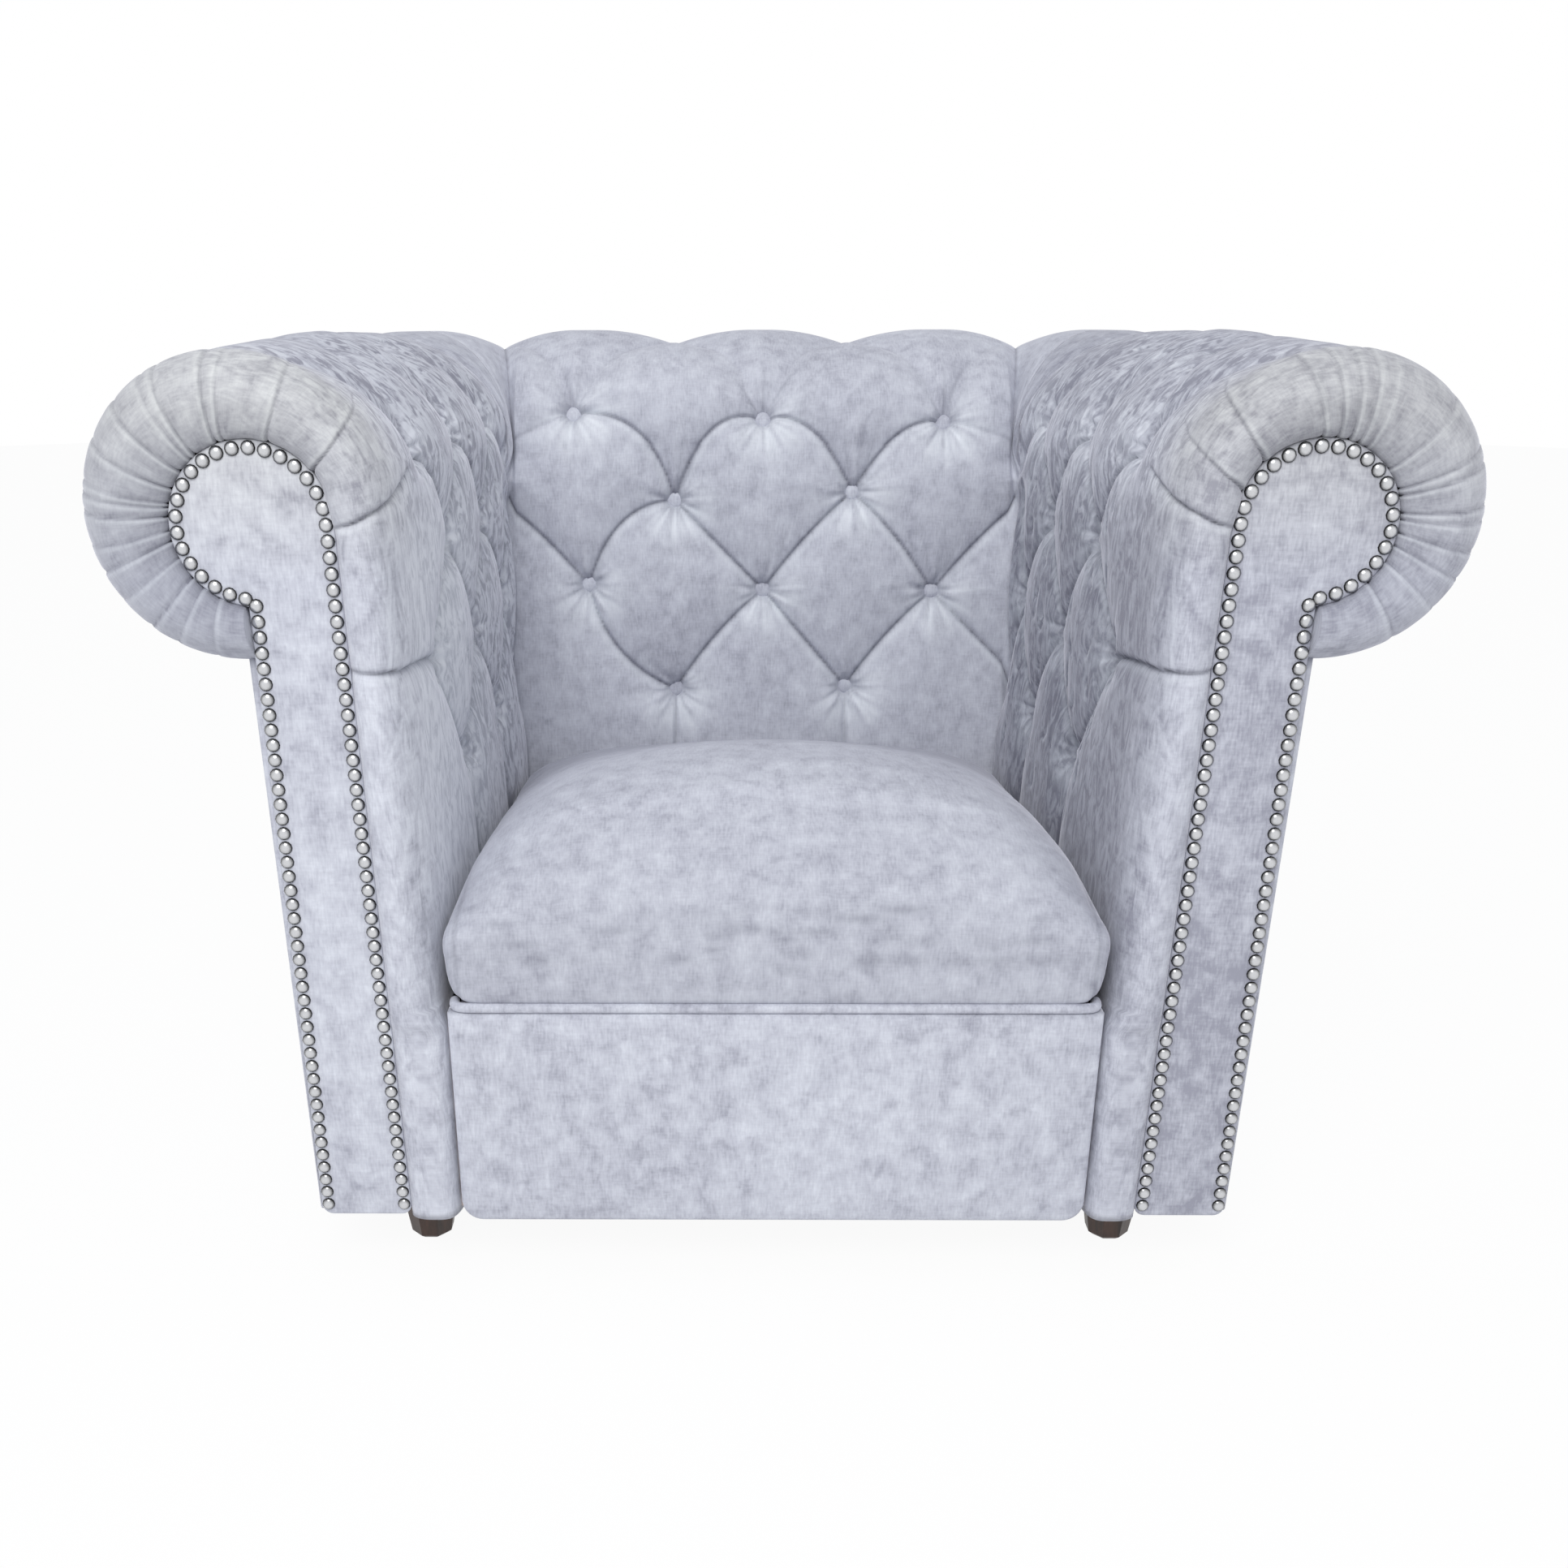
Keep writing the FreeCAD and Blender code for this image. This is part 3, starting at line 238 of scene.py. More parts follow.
def woven_material(name, dark, light, pitch, roughness):
    """Plain weave: two sets of threads that cross."""
    material, nodes, links, shader = new_material(name)
    place = nodes.new("ShaderNodeTexCoord")
    crossing = []
    for way in ("X", "Z"):
        thread = nodes.new("ShaderNodeTexWave")
        thread.bands_direction = way
        thread.inputs["Scale"].default_value = 1.0 / pitch / 3.2
        thread.inputs["Distortion"].default_value = 0.6
        thread.inputs["Detail"].default_value = 2.0
        links.new(place.outputs["Object"], thread.inputs["Vector"])
        crossing.append(thread.outputs["Fac"])
    weave = nodes.new("ShaderNodeMath")
    weave.operation = "MULTIPLY"
    links.new(crossing[0], weave.inputs[0])
    links.new(crossing[1], weave.inputs[1])
    links.new(toned(nodes, links, weave.outputs[0], 0.0, dark, 0.7, light), shader.inputs["Base Color"])
    embossed(nodes, links, weave.outputs[0], 0.6, 0.0005, shader)
    shader.inputs["Roughness"].default_value = roughness
    return material


jute = woven_material("jute_web", linear(120, 98, 66), linear(176, 152, 112), 0.002, 0.9)
dress(["back_webbing", "arm_webbing_left", "arm_webbing_right"], jute)

# Back padding: foam and wadding under crushed velvet, drawn down by deep buttons.
# The cover is folded between the buttons in long diamonds and runs over the top into half of the roll.

# Places on a cover are s, the way along it, and t, the way up it. Up to the axis of the roll t is the
# height, then it runs over the roll, where a quarter of cloth covers the inner top, and ends under it.
roll_radius = 0.114
roll_height = 0.648
roll_y = 0.296
seat_reach = 0.1442
corner_x = 0.2628
corner_y = 0.1518
quarter = 0.204
cover_foot = 0.240
roll_end = 1.214


def velvet(name, on_cloth, lean=0.0, streaks=0.0, spots=0.0):
    """Crushed velvet: soft patches where the pile leans, fine crossing threads, painted shade in the folds,
    painted highlights beside them and round the buttons, and greyer on the tops of the arms' fronts.

    lean makes a whole piece lighter or darker; on the arms and facings this is painted light and shade, the
    left ones lighter and the right ones darker. streaks adds long crushed lines behind the front ring of an
    arm, and spots adds small pressed places."""
    material, nodes, links, shader = new_material(name)
    if on_cloth:
        source = nodes.new("ShaderNodeAttribute")
        source.attribute_name = "cloth"
        source.attribute_type = "GEOMETRY"
        parts = nodes.new("ShaderNodeSeparateXYZ")
        links.new(source.outputs["Vector"], parts.inputs[0])
        flat = nodes.new("ShaderNodeCombineXYZ")
        links.new(parts.outputs["X"], flat.inputs["X"])
        links.new(parts.outputs["Y"], flat.inputs["Z"])
        place = flat.outputs[0]
    else:
        place = nodes.new("ShaderNodeTexCoord").outputs["Object"]

    def cloud(scale, detail, stretch, distortion=0.0):
        turn = nodes.new("ShaderNodeMapping")
        turn.inputs["Scale"].default_value = stretch
        links.new(place, turn.inputs["Vector"])
        noise = nodes.new("ShaderNodeTexNoise")
        noise.inputs["Scale"].default_value = scale
        noise.inputs["Detail"].default_value = detail
        noise.inputs["Distortion"].default_value = distortion
        links.new(turn.outputs[0], noise.inputs["Vector"])
        return noise.outputs["Fac"]

    def joined(operation, a, b):
        node = nodes.new("ShaderNodeMath")
        node.operation = operation
        for socket, value in ((node.inputs[0], a), (node.inputs[1], b)):
            if isinstance(value, float):
                socket.default_value = value
            else:
                links.new(value, socket)
        return node.outputs[0]

    def ranged(value, start, end, low=0.0, high=1.0):
        """From low to high, while value goes from start to end."""
        node = nodes.new("ShaderNodeMapRange")
        links.new(value, node.inputs["Value"])
        for socket, amount in (("From Min", start), ("From Max", end), ("To Min", low), ("To Max", high)):
            node.inputs[socket].default_value = amount
        return node.outputs["Result"]

    def tinted(kind, share, surface, tint):
        node = nodes.new("ShaderNodeMix")
        node.data_type = "RGBA"
        node.blend_type = kind
        links.new(share, node.inputs["Factor"])
        links.new(surface, node.inputs["A"])
        node.inputs["B"].default_value = (*tint, 1.0)
        return node.outputs["Result"]

    patches = cloud(9.0, 2.0, (1.0, 1.0, 0.7), 0.4)
    mottle = cloud(60.0, 10.0, (1.0, 1.0, 0.9), 0.2)
    threads = cloud(560.0, 3.0, (1.0, 1.0, 0.20))
    weft = cloud(520.0, 3.0, (0.2, 0.2, 1.0))
    tone = joined("ADD", joined("MULTIPLY", patches, 0.20), joined("MULTIPLY", mottle, 0.40))
    tone = joined("ADD", tone, joined("MULTIPLY", threads, 0.26))
    tone = joined("ADD", tone, joined("MULTIPLY", weft, 0.14))
    pressed = ranged(cloud(42.0, 10.0, (1.0, 1.0, 1.25), 0.6), 0.47, 0.31)
    tone = joined("SUBTRACT", tone, joined("MULTIPLY", pressed, spots))
    if streaks:
        lines = cloud(78.0, 7.0, (1.0, 1.0, 0.40), 2.4)
        behind = ranged(parts.outputs["X"], -0.41, -0.31, 0.18)
        far_end = joined("MAXIMUM", joined("MULTIPLY", parts.outputs["X"], 5.0), parts.outputs["Y"])
        strength = joined("MULTIPLY", behind, ranged(far_end, 0.80, 1.02, streaks, 0.2 * streaks))
        tone = joined("ADD", tone, joined("MULTIPLY", joined("SUBTRACT", lines, 0.5), strength))
    colour = nodes.new("ShaderNodeValToRGB")
    ramp = colour.color_ramp
    ramp.elements[0].position = 0.32 - lean
    ramp.elements[0].color = linear(152, 153, 166)
    ramp.elements[1].position = 0.66 - lean
    ramp.elements[1].color = linear(212, 215, 224)
    middle = ramp.elements.new(0.48 - lean)
    middle.color = linear(187, 189, 200)
    links.new(tone, colour.inputs[0])
    surface = colour.outputs[0]
    if on_cloth:
        # Painted shade from the cover's dark channel, then painted highlight and sheen from its light
        # channel.
        surface = tinted("MULTIPLY", parts.outputs["Z"], surface, (0.33, 0.33, 0.37))
        surface = tinted("SCREEN", source.outputs["Alpha"], surface, (0.55, 0.60, 0.65))
    # Greyer and less blue high up at the front, on the tops of the arms' fronts.
    height = nodes.new("ShaderNodeSeparateXYZ")
    links.new(nodes.new("ShaderNodeTexCoord").outputs["Object"], height.inputs[0])
    high, ahead = ranged(height.outputs["Z"], 0.60, 0.72), ranged(height.outputs["Y"], -0.30, -0.37)
    greyer_top_front = joined("MULTIPLY", high, ahead)
    links.new(tinted("MULTIPLY", greyer_top_front, surface, (1.0, 0.985, 0.905)), shader.inputs["Base Color"])
    pile = joined("ADD", joined("MULTIPLY", mottle, 1.2), joined("MULTIPLY", threads, 0.5))
    embossed(nodes, links, pile, 0.35, 0.0009, shader)
    shader.inputs["Roughness"].default_value = 0.82
    shader.inputs["Specular IOR Level"].default_value = 0.25
    shader.inputs["Sheen Weight"].default_value = 0.55
    shader.inputs["Sheen Roughness"].default_value = 0.35
    shader.inputs["Sheen Tint"].default_value = (0.92, 0.92, 1.0, 1.0)
    return material


pad_velvet = velvet("pad_velvet", True, -0.012)


def finished(name, bm, material, body, nodes):
    """Make the piece from its bmesh, give it its finish and fix it to its body."""
    mesh = bpy.data.meshes.new(name)
    bm.to_mesh(mesh)
    bm.free()
    mesh.shade_smooth()
    mesh.materials.append(material)
    piece = bpy.data.objects.new(name, mesh)
    bpy.context.collection.objects.link(piece)
    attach(piece, body)
    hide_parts(*nodes)
    return piece


def roll_section(t, reach, face):
    """Distance inwards from the axis of the roll, height and normal, for places t up the cover.

    face is the distance of the upright face and reach that of the roll at the height of its axis."""
    rising = np.pi - (t - roll_height) / quarter * np.pi / 2
    falling = np.pi / 2 - (t - roll_height - quarter) / roll_radius
    angle = np.where(t < roll_height + quarter, rising, falling)
    sine, cosine = np.sin(angle), np.cos(angle)
    long_way = np.where(angle > np.pi / 2, reach, roll_radius)
    far = long_way * roll_radius / np.hypot(long_way * sine, roll_radius * cosine)
    inward, height = -far * cosine, roll_height + far * sine
    normal_in, normal_up = inward / long_way**2, (height - roll_height) / roll_radius**2
    upright = t <= roll_height
    inward = np.where(upright, face, inward)
    height = np.where(upright, t, height)
    normal_in = np.where(upright, 1.0, normal_in)
    normal_up = np.where(upright, 0.1, normal_up)
    length = np.hypot(normal_in, normal_up)
    return inward, height, normal_in / length, normal_up / length


def back_face(t):
    """Distance of the back's upright face from the axis of its roll: it leans back towards the top."""
    return 0.194 - 0.122 * (t - cover_foot)


def back_skin(s, t, sink):
    """Places on the back cover, s along it from the middle and t up it, lowered by sink."""
    reach = np.full_like(t, seat_reach)
    inward, height, normal_in, normal_up = roll_section(t, reach, back_face(t))
    inward = inward - sink * normal_in
    height = height - sink * normal_up
    past = np.clip(np.abs(s) - corner_x, 0.0, None)
    turn = np.clip(past / seat_reach, 0.0, np.pi / 4)
    behind = seat_reach - inward
    out, ahead = np.maximum(behind, 0.0), np.minimum(behind, 0.0)
    share = past / (seat_reach * np.pi / 4)
    low = 1 - np.clip((t - 0.57) / 0.08, 0.0, 1.0)
    low = low * low * (3 - 2 * low)
    x = np.minimum(np.abs(s), corner_x) + out * np.sin(turn) + 0.042 * share * low
    y = corner_y + ahead + out * np.cos(turn) + 0.010 * share**2 * low
    return np.stack([np.sign(s) * x, y, height], axis=-1)


def curve_points(start, bow, end, count=14):
    """Points along one fold. bow pulls its middle to one side."""
    start, end = np.array(start), np.array(end)
    bow = (start + end) / 2 if bow is None else np.array(bow)
    share = np.linspace(0.0, 1.0, count)[:, None]
    return (1 - share) ** 2 * start + 2 * share * (1 - share) * bow + share**2 * end


class Cover:
    """Sinks and creases of one buttoned cover, gathered before the cover is shaped."""

    def __init__(self, s, t):
        self.s, self.t = s, t
        self.sink = np.zeros_like(s)
        self.fine = np.zeros_like(s)
        # dark gathers painted shade in folds, creases and dimples, and light gathers painted highlights and
        # sheen beside them.
        self.dark = np.zeros_like(s)
        self.light = np.zeros_like(s)

    def nearest(self, points, margin, upper=False):
        """Threads near a line: how far from it they lie, how far along it and on which side."""
        low, high = points.min(axis=0) - margin, points.max(axis=0) + margin
        near = (self.s > low[0]) & (self.s < high[0]) & (self.t > low[1]) & (self.t < high[1])
        s, t = self.s[near], self.t[near]
        best = np.full(s.shape, 9.0)
        along, side = np.zeros_like(best), np.zeros_like(best)
        for k, (a, b) in enumerate(zip(points[:-1], points[1:])):
            run = b - a
            share = np.clip(((s - a[0]) * run[0] + (t - a[1]) * run[1]) / (run @ run), 0.0, 1.0)
            ds, dt = s - a[0] - share * run[0], t - a[1] - share * run[1]
            distance = np.hypot(ds, dt)
            closer = distance < best
            turn = np.sign(run[0] + 1e-9) if upper else 1.0
            best = np.where(closer, distance, best)
            along = np.where(closer, (k + share) / (len(points) - 1), along)
            side = np.where(closer, np.sign(run[0] * dt - run[1] * ds) * turn, side)
        return near, best, along, side

    def paint_shade(self, near, amount):
        self.dark[near] = np.maximum(self.dark[near], amount)

    def paint_highlight(self, near, amount):
        self.light[near] = np.maximum(self.light[near], amount)

    def fold(self, start, end, bow=None, middle=0.013, ends=(0.020, 0.020), wide=0.064, crease=1.0, lap=0.0):
        """A long fold that sinks the cover on both sides of it, by middle halfway and by ends at its ends."""
        near, best, along, side = self.nearest(curve_points(start, bow, end), wide, upper=True)
        outer = np.where(along < 0.5, ends[0], ends[1])
        depth = middle + (outer - middle) * (1 - 2 * along) ** 2
        self.sink[near] = np.maximum(self.sink[near], depth * np.clip(1 - best / wide, 0.0, 1.0) ** 2)
        keen = crease * np.clip(depth / 0.004, 0.0, 1.0)
        self.fine[near] += keen * 0.0034 * np.exp(-best / 0.0028) - lap * side * np.exp(-best / 0.008)
        # Painted shade along the crease, and a painted highlight on its lower side.
        self.paint_shade(near, 0.8 * keen * np.exp(-((best / 0.0021) ** 2)))
        self.paint_highlight(near, 0.35 * keen * np.exp(-(((best - 0.0055) / 0.004) ** 2)) * (side < 0))

    def pleat(self, start, end, bow=None, deep=0.002, wide=0.007, dark=0.35, fade=(1.0, 0.0), lap=0.0):
        """A short narrow gather that fades out. With a lap, one side stands over the other as in a tuck."""
        near, best, along, side = self.nearest(curve_points(start, bow, end, 9), 3 * wide)
        strength = fade[0] + (fade[1] - fade[0]) * along
        self.fine[near] += deep * strength * np.exp(-((best / wide) ** 2))
        self.fine[near] -= lap * strength * side * np.exp(-best / (1.6 * wide))
        # Painted shade in the gather; with a lap, a painted highlight beside the side that stands over.
        self.paint_shade(near, dark * strength * np.exp(-((best / (0.45 * wide)) ** 2)))
        if lap:
            lit = strength * np.exp(-(((best - 0.0035) / 0.0025) ** 2)) * (side * lap > 0)
            self.paint_highlight(near, 0.30 * lit)

    def button(self, place, deep=0.028, reach=0.020, gathers=11, turn=0.0, bright=0.80):
        """A dimple with gathers round it, painted shade in its middle, and a bright fan of painted sheen
        below it.
        """
        ds, dt = self.s - place[0], self.t - place[1]
        distance = np.hypot(ds, dt)
        around = np.arctan2(dt, ds)
        self.sink = np.maximum(self.sink, deep * np.exp(-((distance / reach) ** 1.35)))
        ripple = np.cos(gathers * around + turn) + 0.5 * np.cos((gathers - 4) * around + 2 * turn)
        self.fine += 0.0011 * ripple * np.exp(-(((distance - 0.017) / 0.011) ** 2))
        # Painted shade in the dimple, then the fan of painted sheen, brightest below the button.
        self.dark = np.maximum(self.dark, 0.55 * np.exp(-((distance / 0.0125) ** 2)))
        below = 0.50 + (0.22 * ds - 0.45 * dt) / np.maximum(distance, 1e-6)
        glow = below * np.exp(-(((distance - 0.024) / 0.022) ** 2))
        rays = np.clip(0.70 + 0.25 * ripple + 0.2 * np.cos(23 * around + turn), 0.0, 1.2)
        self.light = np.maximum(self.light, bright * glow * rays)

    def total(self):
        return self.sink + self.fine


back_buttons = {
    "A1": (-0.201, 0.688), "A2": (0.001, 0.680), "A3": (0.193, 0.676),
    "B1": (-0.093, 0.594), "B2": (0.097, 0.602),
    "C1": (-0.187, 0.505), "C2": (0.002, 0.500), "C3": (0.185, 0.498),
    "D1": (-0.093, 0.393), "D2": (0.093, 0.396),
}
back_folds = [
    ("A1", (-0.119, 0.690), "B1"), ("A2", (-0.059, 0.697), "B1"),
    ("A2", (0.054, 0.692), "B2"), ("A3", (0.145, 0.684), "B2"),
    ("B1", (-0.160, 0.592), "C1"), ("B1", None, "C2"),
    ("B2", (0.045, 0.560), "C2"), ("B2", (0.148, 0.560), "C3"),
    ("C1", (-0.168, 0.425), "D1"), ("C2", (-0.055, 0.455), "D1"),
    ("C2", None, "D2"), ("C3", (0.130, 0.455), "D2"),
]

bm = bmesh.new()
bmesh.ops.create_grid(bm, x_segments=340, y_segments=410, size=1.0)
grid = np.array([v.co[:2] for v in bm.verts])
edge_s = corner_x + seat_reach * np.pi / 4
s = grid[:, 0] * edge_s
t = np.interp(grid[:, 1], [-1.0, 0.76, 1.0], [cover_foot, 0.880, roll_end])
cover = Cover(s, t)
for start, bow, end in back_folds:
    cover.fold(back_buttons[start], back_buttons[end], bow, lap=0.0012)
for side, column in ((-1, "1"), (1, "3")):
    low_button, top_button = back_buttons["C" + column], back_buttons["A" + column]
    cover.fold((side * 0.285, 0.597), low_button, (side * 0.240, 0.568), ends=(0.014, 0.020), lap=0.0010)
    bow = (side * 0.250, 0.660)
    cover.fold((side * 0.300, 0.640), top_button, bow, middle=0.009, ends=(0.016, 0.018), crease=0.35)
    head = (side * 0.285, 0.990)
    cover.fold((side * 0.285, 0.650), head, middle=0.020, ends=(0.024, 0.0), wide=0.080, crease=0.55)
cover.fold(back_buttons["C3"], (0.285, 0.4015), ends=(0.020, 0.014), lap=-0.0010)
heads = (("A1", -0.285), ("A1", -0.095), ("A2", -0.095), ("A2", 0.095), ("A3", 0.095), ("A3", 0.285))
for name, top in heads:
    place = back_buttons[name]
    bow = (0.6 * place[0] + 0.4 * top, 0.790)
    cover.fold(place, (top, 0.834), bow, middle=0.012, ends=(0.020, 0.019), wide=0.072, crease=0.12)
for top in (-0.095, 0.095):
    cover.fold((top, 0.834), (top, 0.985), middle=0.013, ends=(0.019, 0.0), wide=0.085, crease=0.10)
for name in ("D1", "D2"):
    place = back_buttons[name]
    foot = (place[0] * 1.02, 0.245)
    cover.fold(place, foot, middle=0.013, ends=(0.020, 0.008), wide=0.050, crease=0.50, lap=0.0020)
for k, (name, place) in enumerate(back_buttons.items()):
    cover.button(place, turn=1.7 * k)
rng = np.random.default_rng(7)
for name, place in back_buttons.items():
    for lean in (-0.030, -0.011, 0.010, 0.028):
        tall = 0.075 + 0.03 * rng.random() if name[0] != "D" else 0.045
        start, end = (place[0] + 0.3 * lean, place[1] + 0.012), (place[0] + 1.4 * lean, place[1] + tall)
        cover.pleat(start, end, deep=0.0013, wide=0.0042, dark=0.22)
short_creases = [
    ("C1", (-0.155, 0.512), None), ("C2", (-0.050, 0.503), (-0.02, 0.508)),
    ("C3", (0.137, 0.500), (0.16, 0.506)),
    ("D1", (-0.056, 0.400), (-0.07, 0.403)), ("D2", (0.118, 0.392), None),
    ("A1", (-0.208, 0.640), None), ("A1", (-0.190, 0.640), None),
    ("A2", (0.003, 0.645), None), ("A3", (0.191, 0.635), None),
    ("A2", (0.050, 0.760), (0.018, 0.715)), ("A2", (-0.045, 0.755), (-0.02, 0.71)),
    ("A1", (-0.238, 0.790), (-0.205, 0.74)), ("A3", (0.245, 0.790), (0.205, 0.74)),
    ("A3", (0.193, 0.760), None), ("A2", (0.002, 0.765), None),
]
for start, end, bow in short_creases:
    cover.pleat(back_buttons[start], end, bow, deep=0.0032, wide=0.0052, dark=0.5)


def close_cover(bm, skin, columns, rows):
    """Line the cover: a coarse inner wall at the core, joined to the cover all round its edge."""
    made = bmesh.ops.create_grid(bm, x_segments=columns, y_segments=rows, size=1.0)["verts"]
    flat = np.array([v.co[:2] for v in made])
    for vert, place in zip(made, skin(flat)):
        vert.co = place
    bmesh.ops.reverse_faces(bm, faces=list({f for v in made for f in v.link_faces}))
    bmesh.ops.bridge_loops(bm, edges=[e for e in bm.edges if e.is_boundary])


def shape_cover(bm, places, cover):
    """Move the flat cover onto its shape, and keep where each thread lay, its painted shade and its painted
    highlights.
    """
    cloth = bm.verts.layers.float_color.new("cloth")
    for vert, place, *where in zip(bm.verts, places, cover.s, cover.t, cover.dark, cover.light):
        vert.co = place
        vert[cloth] = where


def back_lining(flat):
    s, t = flat[:, 0] * edge_s, np.interp(flat[:, 1], [-1.0, 1.0], [cover_foot, roll_end])
    return back_skin(s, t, np.where(t < roll_height, back_face(t) - 0.090, 0.05))


shape_cover(bm, back_skin(s, t, cover.total()), cover)
close_cover(bm, back_lining, 40, 40)
back_pad = finished("back_pad_cover", bm, pad_velvet, "chair", ["back_pad"])

# Arm padding, one each side: the same deep buttoned velvet as the back, drawn over the roll and round its
# front, where it is gathered in small tucks against the facing. It ends in a crease against the back.

# The straight part of a cover starts at the post. In front of it the cloth swells into a ring, foremost at
# ring_front, and turns in to rim_end under the edge of the facing, a disc with a tapered foot.
face_y = -0.398
post_y = -0.360
ring_front = post_y - 0.058
rim_end = post_y - 0.085
roll_x = 0.407
arm_edge = corner_y + seat_reach * np.pi / 4
disc_x, disc_z, disc_radius = 0.389, 0.6395, 0.061
facing_inner, facing_outer, facing_foot = 0.3085, 0.385, 0.057


def roll_place(angle):
    """How far up the cover an angle over the roll lies, 0 pointing outwards and 90 up."""
    if angle > 90.0:
        return roll_height + (180.0 - angle) / 90.0 * quarter
    return roll_height + quarter + math.radians(90.0 - angle) * roll_radius


def part_way(value, start, end):
    """0 on the near side of start, 1 beyond end, evenly more between them."""
    return np.clip((value - start) / (end - start), 0.0, 1.0)


rim_degrees = np.arange(165.0, -108.0, -5.0)
rim_cos, rim_sin = np.cos(np.radians(rim_degrees)), np.sin(np.radians(rim_degrees))
off_x, off_z = disc_x - roll_x, disc_z - roll_height
rim_away = off_x * rim_cos + off_z * rim_sin
rim_away = rim_away + np.sqrt(disc_radius**2 - off_x**2 - off_z**2 + rim_away**2)
rim_t = np.concatenate([[facing_foot, cover_foot, 0.630], [roll_place(angle) for angle in rim_degrees]])
rim_x = np.concatenate([[facing_inner, 0.3146, 0.3277], roll_x + rim_away * rim_cos])
rim_z = np.concatenate([[facing_foot, cover_foot, 0.630], roll_height + rim_away * rim_sin])


def arm_skin(s, t, sink):
    """Places on the right arm's cover, s from the front backwards and t up it, lowered by sink."""
    y = np.maximum(s, post_y)
    t = t + 0.009 * part_way(s, post_y + 0.01, post_y - 0.02) * part_way(t, 1.12, 1.21)
    tapered = 0.0471 * (np.minimum(y, corner_y) - face_y)
    face = 0.132 - 0.035 * (t - 0.257) + tapered
    inward, height, normal_in, normal_up = roll_section(t, 0.1183 + tapered, face)
    foot = part_way(t, 0.245, 0.225)
    inward = inward * (1 - foot) + (roll_x - 0.2645 - 0.002 * (t - facing_foot) / 0.19) * foot
    inward = inward - sink * normal_in
    height = height - sink * normal_up
    # Above the seat the cover turns the corner of the roll, halfway to the back's own cover.
    turn = np.clip((y - corner_y) / seat_reach, 0.0, np.pi / 4)
    behind = seat_reach - inward
    out, ahead = np.maximum(behind, 0.0), np.minimum(behind, 0.0)
    high_y = np.minimum(y, corner_y) + out * np.sin(turn)
    high = np.stack([corner_x + out * np.cos(turn) + ahead, high_y, height], axis=-1)
    # Lower down it runs straight on and rounds off against the back's face.
    end = roll_y - back_face(t) + 0.003
    soft = 0.022
    over = np.clip(y - (end - soft), 0.0, None)
    bend = np.clip(over / soft, 0.0, np.pi / 2)
    rest = np.clip(over - soft * np.pi / 2, 0.0, 0.03)
    low_x = roll_x - (inward - soft * (1 - np.cos(bend)) - rest)
    low = np.stack([low_x, np.minimum(y, end - soft) + soft * np.sin(bend), height], axis=-1)
    share = part_way(t, 0.57, 0.65)
    share = (share * share * (3 - 2 * share))[:, None]
    place = low * (1 - share) + high * share
    # In front of the post it goes round the ring and in to the rim.
    away = part_way(s, post_y, ring_front) * np.pi / 2
    inner = part_way(s, ring_front, rim_end) * np.pi / 2
    blunt = np.where(t < 0.250, 0.45, 1.0)
    swell = 0.42 + 0.58 * np.clip(np.cos(away), 0.0, 1.0) ** blunt
    width = np.where(inner > 0.0, 0.42 * (1 - np.sin(inner)), swell)
    tip = np.where(t < cover_foot, -0.4055, -0.4105)
    depth = post_y + (tip - post_y) * np.sin(away) + (-0.395 - tip) * (1 - np.cos(inner))
    rx, rz = np.interp(t, rim_t, rim_x), np.interp(t, rim_t, rim_z)
    ring_x = rx + (roll_x - (inward + sink * normal_in) - rx) * width
    ring_z = rz + (height + sink * normal_up - rz) * width
    cosine = np.where(inner > 0.0, -np.sin(inner), np.cos(away))
    forward = np.where(inner > 0.0, np.cos(inner), np.sin(away))
    ring_x, ring_z = ring_x + sink * normal_in * cosine, ring_z - sink * normal_up * cosine
    ring = np.stack([ring_x, depth + sink * forward, ring_z], axis=-1)
    return np.where((s < post_y)[:, None], ring, place)


arm_buttons = {
    "A1": (-0.243, 0.6865), "A2": (-0.082, 0.6865), "A3": (0.079, 0.6865),
    "B1": (-0.1560, 0.598), "B2": (-0.0015, 0.594),
    "C1": (-0.246, 0.511), "C2": (-0.078, 0.500), "C3": (0.079, 0.504),
    "D1": (-0.1600, 0.4015), "D2": (-0.0015, 0.4015),
}
arm_folds = [
    ("A1", (-0.190, 0.655), "B1"), ("A2", (-0.125, 0.655), "B1"),
    ("A2", (-0.030, 0.655), "B2"), ("A3", (0.045, 0.655), "B2"),
    ("B1", (-0.215, 0.570), "C1"), ("B1", (-0.110, 0.555), "C2"),
    ("B2", (-0.050, 0.560), "C2"), ("B2", (0.050, 0.560), "C3"),
    ("C1", (-0.215, 0.445), "D1"), ("C2", (-0.125, 0.455), "D1"),
    ("C2", (-0.030, 0.455), "D2"), ("C3", (0.045, 0.455), "D2"),
]
